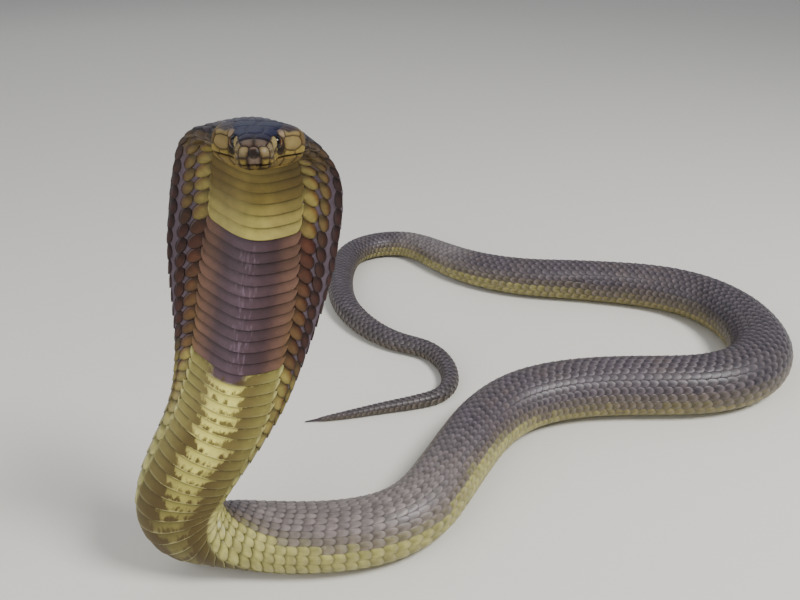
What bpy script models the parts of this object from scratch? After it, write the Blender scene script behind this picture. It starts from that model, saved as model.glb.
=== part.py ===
"""Egyptian cobra, life size, raised with its hood spread and the rest of its body lying in loops.

The body is one loft along a spine, parted into named lengths by thin gaps. Lengths are in
millimetres in the tables and in metres in the meshes. The snake stands on the floor, +Z up.
"""
import math

import bmesh
import bpy
import numpy as np
from mathutils import Matrix, Vector
from mathutils.bvhtree import BVHTree

MM = 0.001
PLAN_SHIFT = (-88.0, -560.2)   # moves the plan so that the box's bottom centre is at the origin

# Spine of the raised front from snout to ground: x, y and height.
RAISED_SPINE = (
    (-56.9, 302.8, 266.5), (-59.9, 327.5, 263.0), (-63.0, 350.5, 259.0), (-66.0, 363.5, 254.5),
    (-68.2, 372.3, 243.5), (-69.5, 375.5, 230.0), (-72.4, 375.3, 210.0), (-78.5, 373.5, 176.0),
    (-86.2, 370.5, 138.0), (-97.5, 366.0, 104.0), (-110.8, 360.0, 80.0), (-122.8, 355.8, 57.5),
    (-126.0, 354.0, 45.5), (-123.2, 353.0, 33.0), (-114.5, 353.8, 23.6), (-101.0, 356.0, 19.5),
)
# Spine of the lying loops in plan, from the bend to the tail tip.
LYING_SPINE = (
    (-80.0, 356.8), (-50.0, 356.6), (-25.0, 360.0), (-4.0, 368.0), (12.5, 382.0),
    (26.8, 405.0), (42.5, 435.0), (62.2, 468.0), (87.0, 493.0), (120.0, 508.0),
    (158.0, 514.2), (200.0, 515.2), (240.0, 519.0), (272.5, 534.0), (295.5, 562.0),
    (302.5, 595.0), (298.0, 630.0), (280.0, 662.0), (248.0, 685.0), (210.0, 697.0),
    (170.0, 705.0), (130.0, 711.5), (96.0, 723.5), (64.0, 745.0), (35.0, 778.0),
    (5.0, 803.0), (-25.0, 802.0), (-48.0, 785.0), (-58.0, 755.0), (-59.5, 718.0),
    (-54.5, 679.0), (-43.0, 648.0), (-25.0, 621.0), (1.0, 600.0), (24.0, 588.0),
    (37.0, 568.0), (40.5, 545.0), (33.0, 525.0), (15.0, 515.0), (-12.0, 507.5),
    (-45.0, 498.5), (-76.0, 492.5),
)
# Section at each distance behind the nape: half width, height above and depth below the
# spine, share of the flat hood form, forward camber of the hood's sides, squareness.
SECTIONS = (
    (-50.6, 1.2, 0.8, 1.4, 0.0, 0.0, 2.2), (-50.2, 3.6, 2.0, 3.4, 0.0, 0.0, 2.3),
    (-49.2, 5.6, 3.5, 5.2, 0.0, 0.0, 2.4), (-47.0, 7.3, 5.0, 6.5, 0.0, 0.0, 2.7),
    (-43.0, 8.2, 6.5, 7.4, 0.0, 0.0, 2.9), (-37.0, 8.9, 7.9, 8.3, 0.0, 0.0, 3.0),
    (-32.0, 9.6, 8.6, 9.1, 0.0, 0.0, 3.1), (-28.0, 11.4, 9.0, 9.6, 0.0, 0.0, 3.1),
    (-24.0, 14.8, 9.2, 9.9, 0.0, 0.0, 3.1), (-20.0, 17.7, 9.3, 10.1, 0.0, 0.0, 3.1),
    (-16.0, 19.6, 9.3, 10.2, 0.0, 0.0, 3.0), (-8.0, 20.6, 9.3, 9.8, 0.0, 0.0, 2.9),
    (0.0, 20.8, 9.4, 9.0, 0.1, 0.0, 2.6), (6.0, 24.4, 10.0, 9.1, 0.3, 0.0, 2.2),
    (12.0, 29.6, 10.8, 9.4, 0.6, 0.0, 2.0), (20.0, 35.4, 11.3, 10.0, 0.9, 1.0, 2.0),
    (30.0, 40.0, 11.5, 10.5, 1.0, 2.0, 2.0), (42.0, 42.8, 11.5, 10.5, 1.0, 3.0, 2.0),
    (55.0, 43.8, 11.5, 11.0, 1.0, 4.0, 2.0), (75.0, 43.4, 12.0, 11.0, 1.0, 5.0, 2.0),
    (95.0, 41.2, 12.5, 11.5, 1.0, 5.0, 2.0), (115.0, 38.2, 13.0, 12.0, 0.9, 4.0, 2.0),
    (135.0, 35.2, 14.0, 13.5, 0.7, 3.0, 2.0), (155.0, 32.5, 15.5, 15.0, 0.45, 1.5, 2.0),
    (175.0, 29.8, 17.5, 16.5, 0.2, 0.5, 2.0), (195.0, 27.8, 19.0, 18.0, 0.0, 0.0, 2.0),
    (220.0, 26.0, 20.0, 19.0, 0.0, 0.0, 2.0), (245.0, 24.2, 20.5, 19.0, 0.0, 0.0, 2.0),
    (300.0, 21.8, 20.2, 17.5, 0.0, 0.0, 2.0), (420.0, 21.4, 20.6, 17.6, 0.0, 0.0, 2.0),
    (560.0, 23.8, 22.6, 18.8, 0.0, 0.0, 2.0), (660.0, 24.3, 23.0, 19.2, 0.0, 0.0, 2.0),
    (760.0, 24.5, 22.8, 19.2, 0.0, 0.0, 2.0), (880.0, 23.2, 21.8, 18.4, 0.0, 0.0, 2.0),
    (1000.0, 20.8, 19.7, 16.6, 0.0, 0.0, 2.0), (1100.0, 18.5, 17.5, 14.8, 0.0, 0.0, 2.0),
    (1180.0, 15.2, 14.4, 12.4, 0.0, 0.0, 2.0), (1260.0, 13.6, 13.0, 11.0, 0.0, 0.0, 2.0),
    (1340.0, 12.4, 11.8, 10.0, 0.0, 0.0, 2.0), (1400.0, 11.0, 10.5, 9.0, 0.0, 0.0, 2.0),
    (1470.0, 8.8, 8.4, 7.2, 0.0, 0.0, 2.0), (1540.0, 7.0, 6.7, 5.8, 0.0, 0.0, 2.0),
    (1600.0, 5.0, 4.8, 4.2, 0.0, 0.0, 2.0), (1640.0, 3.2, 3.0, 2.6, 0.0, 0.0, 2.0),
    (1664.0, 1.0, 1.0, 0.9, 0.0, 0.0, 2.0),
)
# Which way the back faces at each distance behind the nape.
BACK_FACES = (
    (-50.6, (0.0, 0.15, 0.985)), (0.0, (0.05, 0.25, 0.96)), (20.0, (0.06, 0.80, 0.60)),
    (35.0, (0.06, 1.0, 0.12)), (60.0, (0.05, 1.0, 0.0)), (180.0, (-0.02, 1.0, 0.0)),
    (225.0, (-0.02, 1.0, 0.0)), (250.0, (0.10, 1.0, 0.15)), (265.0, (0.10, 0.85, 0.55)),
    (280.0, (0.10, 0.45, 0.90)), (300.0, (0.0, 0.10, 1.0)), (315.0, (0.0, 0.0, 1.0)),
    (1700.0, (0.0, 0.0, 1.0)),
)
NAPE_POINT = 2                 # the waypoint of the raised spine that is the nape
HOOD_RIM = 3.0                 # half thickness of the hood near its edge
HOOD_CORE_WIDTH = 17.5         # how far the rounded neck reaches sideways under the hood
HOOD_EDGE_POWER = 0.6          # how blunt the hood's edge is
BELLY_SQUARENESS = 2.5
BELLY_PRESS = 0.4              # how far the belly is pressed flat on the floor
BEND_MIDDLE = 255.0            # the tight bend at the foot of the raised front
BEND_REACH = 50.0              # length each way in which its sections turn more gently
BEND_SOFTNESS = 91             # samples of the spine that share one turn there
FLOOR_START = 250.0            # behind this distance the belly may reach the floor
PRESS_REACH = 50.0             # length over which the belly comes to press on it
SECTION_SAMPLES = 400          # points of half a section when its girth is measured

# Lengths of the body, each by the distance behind the nape where it ends.
HOOD_NODES = (("nape", 18.6), ("hood_upper", 84.6), ("hood_lower", 150.6), ("neck", 216.6))
BEND_NODES = (("neck_bend_upper", 249.6), ("neck_bend_lower", 289.2))
LYING_NODES = (
    ("torso_1", 350.0), ("torso_2", 400.0), ("torso_3", 490.0), ("torso_4", 545.0),
    ("torso_5", 650.0), ("torso_6", 725.0), ("torso_7", 775.0), ("torso_8", 825.0),
    ("torso_9", 880.0), ("torso_10", 1000.0), ("torso_11", 1125.0), ("torso_12", 1175.0),
    ("torso_13", 1225.0), ("torso_14", 1290.0), ("tail_1", 1385.0), ("tail_2", 1450.0),
    ("tail_3", 1500.0), ("tail_4", 1550.0), ("tail_5", 1661.0),
)
NODE_GAP = 0.3
WELD = 0.000001               # points closer than this, in metres, are made one
SCUTE_PITCH = 6.6
SCUTE_RISE = 0.8
SCUTE_ROOT_RISE = 0.05
SCUTE_STEP = 0.4               # length of the drop behind a scute's free edge
SCUTE_POINTS = (0.0, 0.4, 0.75)   # points across half a scute, as shares of its reach
SCUTE_SIDE = 0.012             # half width of the drop at a scute's side, as a share of girth
RIM_SPAN = (0.025, 0.03)       # points this side of and beyond the hood's edge, likewise
HOOD_BACK_POINTS = 6
SCUTE_REACH = ((0.0, 0.26), (60.0, 0.25), (110.0, 0.30), (160.0, 0.33), (290.0, 0.33))
BODY_RING_SPACING = 11.0
BODY_RING_POINTS = 20
TAIL_RING_POINTS = 14
HEAD_RING_POINTS = 28
SNOUT_RINGS = (-50.6, -50.2, -49.2, -47.2, -44.5)
HEAD_RINGS_FROM = -41.0
HEAD_RING_COUNT = 10

JAW_CORNER = -13.0             # where the mouth line ends, behind the snout
MOUTH_HEIGHT = (-3.6, -4.4)    # mouth line against the spine, at the corner and at the snout
JAW_DEPTH = 25.0               # the cutter of the jaw reaches this far below the mouth line,
JAW_SIDE = 30.0                # this far to each side
JAW_FRONT = -62.0              # and to here in front of the snout
EYE_ALONG = -31.5
EYE_HEIGHT = 2.6
EYE_RADIUS = 3.0
EYE_SHOWS = 1.1                # how far the eye stands out of the side of the head
NOSTRIL_ALONG = -46.5
NOSTRIL_HEIGHT = 1.2
NOSTRIL_RADIUS = 0.7
NOSTRIL_SLANT = 0.6            # share of its direction that points forward
NOSTRIL_SPAN = (1.2, 1.5)      # its cutter reaches this far into the head and out of it
SHIELD_RISE = 0.35
SHIELD_ROOT = 1.0
SHIELD_EDGE = 4.0              # longest straight piece of a shield's outline
CAST_FROM = 40.0               # distance from the spine from which shields are cast on the head

# Head shields by name, the side they are seen from and their outline, as distance behind
# the nape with a side or height offset. Those of the flank are mirrored.
CROWN_SHIELDS = (
    ("frontal", ((-37.6, -2.9), (-38.6, 0.0), (-37.6, 2.9), (-31.0, 3.6), (-25.6, 2.4),
                 (-24.6, 0.0), (-25.6, -2.4), (-31.0, -3.6)), False),
    ("prefrontal", ((-43.2, 0.3), (-43.4, 4.6), (-39.4, 6.4), (-37.6, 3.1), (-39.0, 0.3)), True),
    ("internasal", ((-47.4, 0.3), (-46.8, 3.6), (-43.9, 4.4), (-43.7, 0.3)), True),
    ("supraocular", ((-37.0, 3.6), (-38.2, 6.2), (-34.0, 7.8), (-29.0, 8.6), (-25.8, 8.4),
                     (-25.4, 3.4), (-31.0, 4.1)), True),
    ("parietal", ((-24.2, 0.3), (-25.2, 3.0), (-25.0, 8.8), (-19.0, 10.6), (-12.0, 8.0),
                  (-9.5, 3.0), (-9.6, 0.3)), True),
    ("upper_temporal", ((-23.8, 10.2), (-22.4, 13.4), (-16.0, 16.2), (-12.6, 13.4),
                        (-12.8, 10.0), (-18.6, 11.4)), True),
    ("occipital", ((-8.9, 0.3), (-8.8, 3.4), (-11.0, 8.4), (-6.0, 11.4), (-1.5, 8.0),
                   (-1.6, 0.3)), True),
)
FLANK_SHIELDS = (
    ("nasal", ((-48.0, 2.6), (-48.4, -1.6), (-43.6, -1.5), (-43.6, 3.6))),
    ("preocular", ((-43.1, 3.6), (-43.1, 0.2), (-36.0, 0.4), (-35.4, 5.6), (-38.6, 5.4))),
    ("upper_lip_1", ((-48.0, -2.0), (-47.6, -3.3), (-43.6, -3.4), (-43.6, -1.9))),
    ("upper_lip_2", ((-43.1, -0.2), (-43.1, -3.4), (-38.2, -3.3), (-38.0, 0.0))),
    ("upper_lip_3", ((-37.7, 0.0), (-37.8, -3.3), (-33.2, -3.2), (-33.0, -0.8))),
    ("upper_lip_4", ((-32.7, -0.8), (-32.8, -3.2), (-27.6, -3.1), (-27.0, -0.6))),
    ("upper_lip_5", ((-26.5, -0.2), (-27.2, -3.1), (-21.4, -3.0), (-20.6, 0.6))),
    ("upper_lip_6", ((-20.1, 0.8), (-21.0, -3.0), (-14.2, -2.9), (-13.4, 1.2))),
    ("suborbital_1", ((-37.0, 0.5), (-36.4, -0.0), (-33.0, -0.4), (-33.0, 0.1))),
    ("postocular", ((-27.6, 6.4), (-28.2, 2.6), (-27.0, -0.1), (-23.6, 0.6), (-24.6, 6.6))),
    ("temporal_1", ((-24.0, 7.4), (-23.1, 0.7), (-17.0, 1.3), (-16.4, 4.6), (-17.4, 8.0))),
    ("temporal_2", ((-16.6, 7.8), (-15.7, 4.4), (-16.2, 1.5), (-8.6, 1.8), (-8.0, 6.8))),
    ("lower_lip_1", ((-47.4, -4.9), (-46.8, -6.4), (-42.0, -6.4), (-42.0, -4.8))),
    ("lower_lip_2", ((-41.6, -4.8), (-41.6, -6.8), (-35.4, -7.0), (-35.4, -4.7))),
    ("lower_lip_3", ((-35.0, -4.7), (-35.0, -7.2), (-27.4, -7.4), (-27.4, -4.5))),
    ("lower_lip_4", ((-27.0, -4.5), (-27.0, -7.4), (-18.6, -7.4), (-18.2, -4.3))),
)

# Colour (linear RGB) and roughness of each material.
FINISHES = {
    "head_scales": ((0.045, 0.040, 0.048), 0.35),
    "jaw_scales": ((0.38, 0.30, 0.11), 0.45),
    "hood_scales": ((0.20, 0.14, 0.06), 0.45),
    "belly_scutes": ((0.42, 0.36, 0.12), 0.45),
    "back_scales": ((0.090, 0.082, 0.085), 0.45),
    "eye_gloss": ((0.01, 0.008, 0.006), 0.08),
}


def clear_scene():
    """Remove every object, mesh and material of the open file."""
    for store in (bpy.data.objects, bpy.data.meshes, bpy.data.materials):
        for item in list(store):
            store.remove(item)


def make_materials():
    """Make one Principled material for each finish."""
    made = {}
    for name, (colour, roughness) in FINISHES.items():
        material = bpy.data.materials.new(name)
        material.use_nodes = True
        shader = material.node_tree.nodes["Principled BSDF"]
        shader.inputs["Base Color"].default_value = (*colour, 1.0)
        shader.inputs["Roughness"].default_value = roughness
        shader.inputs["Metallic"].default_value = 0.0
        made[name] = material
    return made


def smoothed(values, window):
    """Average values over a bell-shaped window of an odd number of samples."""
    bell = np.hanning(window + 2)[1:-1]
    padded = np.pad(values, (window // 2, window // 2), mode="edge")
    return np.convolve(padded, bell / bell.sum(), "valid")


def cubic_through(knots, values, at):
    """Natural cubic spline through the rows of values at the given knots."""
    count = len(knots)
    spans = np.diff(knots)
    matrix = np.eye(count)
    right = np.zeros_like(values)
    for i in range(1, count - 1):
        matrix[i, i - 1:i + 2] = spans[i - 1], 2.0 * (spans[i - 1] + spans[i]), spans[i]
        slope_after = (values[i + 1] - values[i]) / spans[i]
        slope_before = (values[i] - values[i - 1]) / spans[i - 1]
        right[i] = 6.0 * (slope_after - slope_before)
    bends = np.linalg.solve(matrix, right)
    k = np.clip(np.searchsorted(knots, at) - 1, 0, count - 2)
    span = spans[k][:, None]
    after = (at - knots[k])[:, None]
    before = span - after
    curve = (bends[k] * before ** 3 + bends[k + 1] * after ** 3) / (6.0 * span)
    return (curve + (values[k] / span - bends[k] * span / 6.0) * before
            + (values[k + 1] / span - bends[k + 1] * span / 6.0) * after)


class Body:
    """The snake's spine, its frames and its section, in millimetres, by distance behind the nape."""

    STEP = 1.0
    TURN_WINDOW = 31

    def __init__(self):
        """Sample the spine and its frames every millimetre and rest the belly on the floor."""
        table = np.array(SECTIONS)
        points = [*RAISED_SPINE, *((x, y, 0.0) for x, y in LYING_SPINE)]
        points = np.array(points)
        raised = len(RAISED_SPINE)
        for _ in range(3):
            steps = np.linalg.norm(np.diff(points, axis=0), axis=1)
            knots = np.concatenate([[0.0], np.cumsum(steps)])
            along = knots - knots[NAPE_POINT]
            points[raised:, 2] = np.interp(along[raised:], table[:, 0], table[:, 3])
        dense = np.arange(0.0, knots[-1], self.STEP / 4.0)
        curve = cubic_through(knots, points, dense)
        lengths = np.concatenate([[0.0], np.cumsum(np.linalg.norm(np.diff(curve, axis=0), axis=1))])
        nape = np.interp(knots[NAPE_POINT], dense, lengths)
        self.s = np.arange(table[0, 0], lengths[-1] - nape, self.STEP)
        self.centre = np.stack([np.interp(self.s + nape, lengths, column)
                                for column in curve.T], axis=1)
        missing = self.s + nape < 0.0
        self.tangent = np.gradient(self.centre, axis=0)
        first = int(missing.sum())
        self.tangent[:first + 1] = self.tangent[first + 1]
        for i in range(first - 1, -1, -1):
            step = self.tangent[i] / np.linalg.norm(self.tangent[i])
            self.centre[i] = self.centre[i + 1] - step * self.STEP
        self.tangent /= np.linalg.norm(self.tangent, axis=1)[:, None]
        soft = np.stack([smoothed(column, BEND_SOFTNESS) for column in self.tangent.T], axis=1)
        share = np.exp(-((self.s - BEND_MIDDLE) / BEND_REACH) ** 2)[:, None]
        self.normal = self.tangent + (soft - self.tangent) * share
        self.normal /= np.linalg.norm(self.normal, axis=1)[:, None]
        back_at = np.array([row[0] for row in BACK_FACES])
        back = np.array([row[1] for row in BACK_FACES])
        back = np.stack([smoothed(np.interp(self.s, back_at, column), self.TURN_WINDOW)
                         for column in back.T], axis=1)
        back -= (back * self.normal).sum(axis=1)[:, None] * self.normal
        self.back = back / np.linalg.norm(back, axis=1)[:, None]
        self.side = np.cross(self.normal, self.back)
        self.table = table
        self.centre[:, :2] += PLAN_SHIFT
        self.rest_on_floor()

    def rest_on_floor(self):
        """Raise the spine where a section would pass under the floor."""
        angles = np.linspace(-math.pi, math.pi, 72, endpoint=False)
        lift = np.zeros(len(self.s))
        for i, along in enumerate(self.s):
            if along > FLOOR_START:
                across, up = self.section(along, angles)
                low = (self.centre[i, 2] + self.side[i, 2] * across + self.back[i, 2] * up).min()
                lying = min(max((along - FLOOR_START) / PRESS_REACH, 0.0), 1.0)
                lift[i] = max(-low, 0.0) - BELLY_PRESS * lying
        self.centre[:, 2] += smoothed(lift, 15)

    def section(self, along, angles):
        """Offsets to the snake's left and to its back, for angles from the middle of the back."""
        wide, high, deep, hood, camber, square = (
            np.interp(along, self.table[:, 0], column) for column in self.table.T[1:])
        sine, cosine = np.sin(angles), np.cos(angles)
        over = cosine >= 0.0
        round_across = wide * np.sign(sine) * np.abs(sine) ** (2.0 / square)
        round_back = high * np.abs(cosine) ** (2.0 / square)
        belly_power = max(BELLY_SQUARENESS, square)
        fill = np.clip(1.0 - (np.abs(round_across) / wide) ** belly_power, 0.0, 1.0)
        round_up = np.where(over, round_back, -deep * fill ** (1.0 / belly_power))
        taper = np.abs(cosine) ** HOOD_EDGE_POWER
        depth = np.where(over, high, deep) - HOOD_RIM
        core = depth * np.exp(-(round_across / HOOD_CORE_WIDTH) ** 2)
        flat_up = np.where(over, 1.0, -1.0) * (HOOD_RIM + core) * taper
        lean = camber * (round_across / wide) ** 2
        return round_across, (1.0 - hood) * round_up + hood * flat_up - lean

    def frame(self, along):
        """Spine point, back, left side and section normal at a distance behind the nape."""
        at = [np.array([np.interp(along, self.s, column) for column in field.T])
              for field in (self.centre, self.back, self.side, self.normal)]
        return at[0], *(vector / np.linalg.norm(vector) for vector in at[1:])

    def place(self, along, across, up):
        """World points in millimetres for offsets in the section plane, kept above the floor."""
        centre, back, side, _ = self.frame(along)
        points = centre + np.outer(across, side) + np.outer(up, back)
        points[:, 2] = np.maximum(points[:, 2], 0.0)
        return points

    def by_girth(self, along, shares):
        """Section offsets at shares of the half girth, 0 mid belly and 1 mid back, left side."""
        angles = np.linspace(math.pi, 0.0, SECTION_SAMPLES)
        across, up = self.section(along, angles)
        run = np.concatenate([[0.0], np.cumsum(np.hypot(np.diff(across), np.diff(up)))])
        run /= run[-1]
        return np.interp(shares, run, across), np.interp(shares, run, up)

    def edge_share(self, along):
        """Share of the half girth at which the section is widest."""
        angles = np.linspace(math.pi, 0.0, SECTION_SAMPLES)
        across, up = self.section(along, angles)
        run = np.concatenate([[0.0], np.cumsum(np.hypot(np.diff(across), np.diff(up)))])
        return run[int(np.argmax(across))] / run[-1]


def ring_of(body, along, shares, rise=None):
    """Closed ring of points from shares of the half girth, with an outward rise at each."""
    across, up = body.by_girth(along, shares)
    if rise is not None:
        slope = np.stack([np.gradient(across), np.gradient(up)])
        slope /= np.linalg.norm(slope, axis=0)
        across = across + slope[1] * rise
        up = up - slope[0] * rise
    across[0] = across[-1] = 0.0
    left = np.stack([across, up], axis=1)
    right = left[-2:0:-1] * (-1.0, 1.0)
    both = np.concatenate([left, right])
    return body.place(along, both[:, 0], both[:, 1])


def plain_shares(points):
    """Even shares of the half girth for a ring of that many points."""
    return np.linspace(0.0, 1.0, points // 2 + 1)


def hood_shares(body, along, reach):
    """Shares of the half girth for a ring with a scute's edge and the hood's rim."""
    edge = body.edge_share(along)
    belly = [reach * share for share in SCUTE_POINTS] + [reach - SCUTE_SIDE, reach + SCUTE_SIDE]
    flank = [(reach + edge) * 0.5, edge - RIM_SPAN[0], edge, edge + RIM_SPAN[1]]
    back = list(np.linspace(edge + RIM_SPAN[1], 1.0, HOOD_BACK_POINTS)[1:])
    return np.array(belly + flank + back)


def loft(rings, name):
    """Closed mesh through rings of equal count with flat ends.

    Quads are split the same way round, so that the faces stay flat.
    """
    mesh = bmesh.new()
    rows = [[mesh.verts.new(Vector(point) * MM) for point in ring] for ring in rings]
    count = len(rows[0])
    for row, after in zip(rows, rows[1:]):
        for j in range(count):
            k = (j + 1) % count
            mesh.faces.new((row[j], row[k], after[k]))
            mesh.faces.new((row[j], after[k], after[j]))
    mesh.faces.new(rows[0][::-1])
    mesh.faces.new(rows[-1])
    bmesh.ops.triangulate(mesh, faces=[face for face in mesh.faces if len(face.verts) > 4])
    bmesh.ops.recalc_face_normals(mesh, faces=mesh.faces)
    return finish_mesh(mesh, name)


def finish_mesh(mesh, name):
    """Turn a bmesh into a linked object with smooth faces."""
    data = bpy.data.meshes.new(name)
    mesh.to_mesh(data)
    mesh.free()
    data.shade_smooth()
    thing = bpy.data.objects.new(name, data)
    bpy.context.scene.collection.objects.link(thing)
    return thing


def scute_rings(body, start, end):
    """Rings of a length whose belly carries scutes, two to each scute."""
    count = int(round((end - start) / SCUTE_PITCH))
    pitch = (end - start) / count
    rings = []
    for k in range(count):
        head_end = start + k * pitch
        tail_end = head_end + pitch
        head_end += NODE_GAP / 2.0 if k == 0 else 0.0
        tail_end -= NODE_GAP / 2.0 if k == count - 1 else SCUTE_STEP
        for along, rise in ((head_end, SCUTE_ROOT_RISE), (tail_end, SCUTE_RISE)):
            reach = np.interp(along, *np.array(SCUTE_REACH).T)
            shares = hood_shares(body, along, reach)
            rises = np.where(shares < reach, rise, 0.0)
            rings.append(ring_of(body, along, shares, rises))
    return rings


def body_rings(body, start, end, points):
    """Evenly spaced rings of a plain length."""
    count = max(2, int(math.ceil((end - start) / BODY_RING_SPACING)) + 1)
    places = np.linspace(start + NODE_GAP / 2.0, end - NODE_GAP / 2.0, count)
    return [ring_of(body, along, plain_shares(points)) for along in places]


def head_stations():
    """Distances of the head's rings, closest together at the snout."""
    return [*SNOUT_RINGS, *np.linspace(HEAD_RINGS_FROM, -NODE_GAP / 2.0, HEAD_RING_COUNT)]


def prism(outline, low, high, name):
    """Closed prism of a flat outline given as world points, from low to high along a vector."""
    mesh = bmesh.new()
    bottom = [mesh.verts.new((Vector(point) + Vector(low)) * MM) for point in outline]
    top = [mesh.verts.new((Vector(point) + Vector(high)) * MM) for point in outline]
    mesh.faces.new(bottom[::-1])
    mesh.faces.new(top)
    count = len(outline)
    for j in range(count):
        k = (j + 1) % count
        mesh.faces.new((bottom[j], bottom[k], top[k], top[j]))
    bmesh.ops.recalc_face_normals(mesh, faces=mesh.faces)
    return finish_mesh(mesh, name)


def apply_boolean(target, operation, cutters):
    """Apply one Boolean of a collection of objects to the target and remove them."""
    group = bpy.data.collections.new("cutters")
    bpy.context.scene.collection.children.link(group)
    for cutter in cutters:
        bpy.context.scene.collection.objects.unlink(cutter)
        group.objects.link(cutter)
    modifier = target.modifiers.new("cut", "BOOLEAN")
    modifier.operation = operation
    modifier.operand_type = "COLLECTION"
    modifier.collection = group
    modifier.solver = "EXACT"
    evaluated = target.evaluated_get(bpy.context.evaluated_depsgraph_get())
    result = bpy.data.meshes.new_from_object(evaluated)
    target.modifiers.remove(modifier)
    target.data = result
    for cutter in cutters:
        bpy.data.objects.remove(cutter)
    bpy.data.collections.remove(group)


def keep_largest(thing):
    """Keep only the largest closed surface of an object's mesh, as triangles."""
    mesh = bmesh.new()
    mesh.from_mesh(thing.data)
    bmesh.ops.remove_doubles(mesh, verts=mesh.verts, dist=WELD)
    bmesh.ops.triangulate(mesh, faces=mesh.faces)
    unseen = set(mesh.faces)
    shells = []
    while unseen:
        stack = [unseen.pop()]
        shell = []
        while stack:
            face = stack.pop()
            shell.append(face)
            for edge in face.edges:
                for other in edge.link_faces:
                    if other in unseen:
                        unseen.discard(other)
                        stack.append(other)
        shells.append(shell)
    shells.sort(key=lambda shell: sum(face.calc_area() for face in shell))
    scraps = [face for shell in shells[:-1] for face in shell]
    bmesh.ops.delete(mesh, geom=scraps, context="FACES")
    loose = [vertex for vertex in mesh.verts if not vertex.link_faces]
    bmesh.ops.delete(mesh, geom=loose, context="VERTS")
    mesh.to_mesh(thing.data)
    mesh.free()
    thing.data.shade_smooth()


def mouth_outline(body, half_gap):
    """Corner points of the mouth's plane, shifted down from it by half of the gap."""
    corners = []
    for along, height in ((JAW_CORNER, MOUTH_HEIGHT[0]), (JAW_FRONT, MOUTH_HEIGHT[1])):
        shown = max(along, body.s[0])
        centre, back, side, tangent = body.frame(shown)
        centre = centre + tangent * (along - shown)
        for sign in (-1.0, 1.0):
            corners.append(centre + side * sign * JAW_SIDE + back * (height - half_gap))
    return [corners[0], corners[1], corners[3], corners[2]]


def jaw_prism(body, half_gap, name):
    """Prism that holds the lower jaw, below the mouth's plane and before its corner."""
    outline = [np.array(point) for point in mouth_outline(body, half_gap)]
    _, back, _, tangent = body.frame(JAW_CORNER)
    for i in (0, 1):
        outline[i] = outline[i] - tangent * half_gap
    return prism(outline, -back * JAW_DEPTH, back * 0.0, name)


def sphere(centre, radius, name, segments=16, rings=10):
    """Round ball as a closed mesh."""
    mesh = bmesh.new()
    bmesh.ops.create_uvsphere(mesh, u_segments=segments, v_segments=rings, radius=radius * MM)
    bmesh.ops.translate(mesh, verts=mesh.verts, vec=Vector(centre) * MM)
    return finish_mesh(mesh, name)


def rod(start, end, radius, name, sides=10):
    """Closed straight rod between two points."""
    mesh = bmesh.new()
    run = Vector(end) - Vector(start)
    bmesh.ops.create_cone(mesh, cap_ends=True, segments=sides, radius1=radius * MM,
                          radius2=radius * MM, depth=run.length * MM)
    turn = run.to_track_quat("Z", "Y").to_matrix().to_4x4()
    middle = Matrix.Translation((Vector(start) + Vector(end)) * 0.5 * MM)
    bmesh.ops.transform(mesh, matrix=middle @ turn, verts=mesh.verts)
    return finish_mesh(mesh, name)


def side_width(body, along, height):
    """Half width of the head at a height above the spine."""
    angles = np.linspace(0.0, math.pi, 200)
    across, up = body.section(along, angles)
    return float(np.interp(-height, -up, across))


def split_outline(outline, longest):
    """Add points to a closed outline so that no piece of it is longer than the limit."""
    points = []
    for here, after in zip(outline, [*outline[1:], outline[0]]):
        pieces = max(1, int(math.ceil(math.dist(here, after) / longest)))
        for k in range(pieces):
            share = k / pieces
            points.append((here[0] + (after[0] - here[0]) * share,
                           here[1] + (after[1] - here[1]) * share))
    return points


def shield_plate(body, tree, outline, view, sign, name):
    """Raised plate of a head shield, cast onto the head from above or from its side."""
    points = split_outline(outline, SHIELD_EDGE)
    middle = tuple(np.mean(points, axis=0))
    placed = []
    for along, offset in [*points, middle]:
        centre, back, side, _ = body.frame(along)
        if view == "crown":
            origin = centre + side * offset * sign + back * CAST_FROM
            ray = -back
        else:
            origin = centre + back * offset + side * sign * CAST_FROM
            ray = -side * sign
        hit, normal, _, _ = tree.ray_cast(Vector(origin) * MM, Vector(ray))
        placed.append((np.array(hit) / MM, np.array(normal)))
    mesh = bmesh.new()
    top = [mesh.verts.new(Vector(point + normal * SHIELD_RISE) * MM) for point, normal in placed]
    root = [mesh.verts.new(Vector(point - normal * SHIELD_ROOT) * MM) for point, normal in placed]
    count = len(points)
    for j in range(count):
        k = (j + 1) % count
        mesh.faces.new((top[j], top[k], top[count]))
        mesh.faces.new((root[k], root[j], root[count]))
        mesh.faces.new((top[k], top[j], root[j]))
        mesh.faces.new((top[k], root[j], root[k]))
    bmesh.ops.recalc_face_normals(mesh, faces=mesh.faces)
    return finish_mesh(mesh, name)


def make_shields(body, head):
    """Shield plates of the crown, and of both flanks apart for upper and lower lips."""
    mesh = bmesh.new()
    mesh.from_mesh(head.data)
    tree = BVHTree.FromBMesh(mesh)
    mesh.free()
    upper = []
    lower = []
    for name, outline, paired in CROWN_SHIELDS:
        for sign in ((1.0, -1.0) if paired else (1.0,)):
            upper.append(shield_plate(body, tree, outline, "crown", sign, name))
    for name, outline in FLANK_SHIELDS:
        for sign in (1.0, -1.0):
            plate = shield_plate(body, tree, outline, "flank", sign, name)
            (lower if name.startswith("lower") else upper).append(plate)
    return upper, lower


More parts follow.
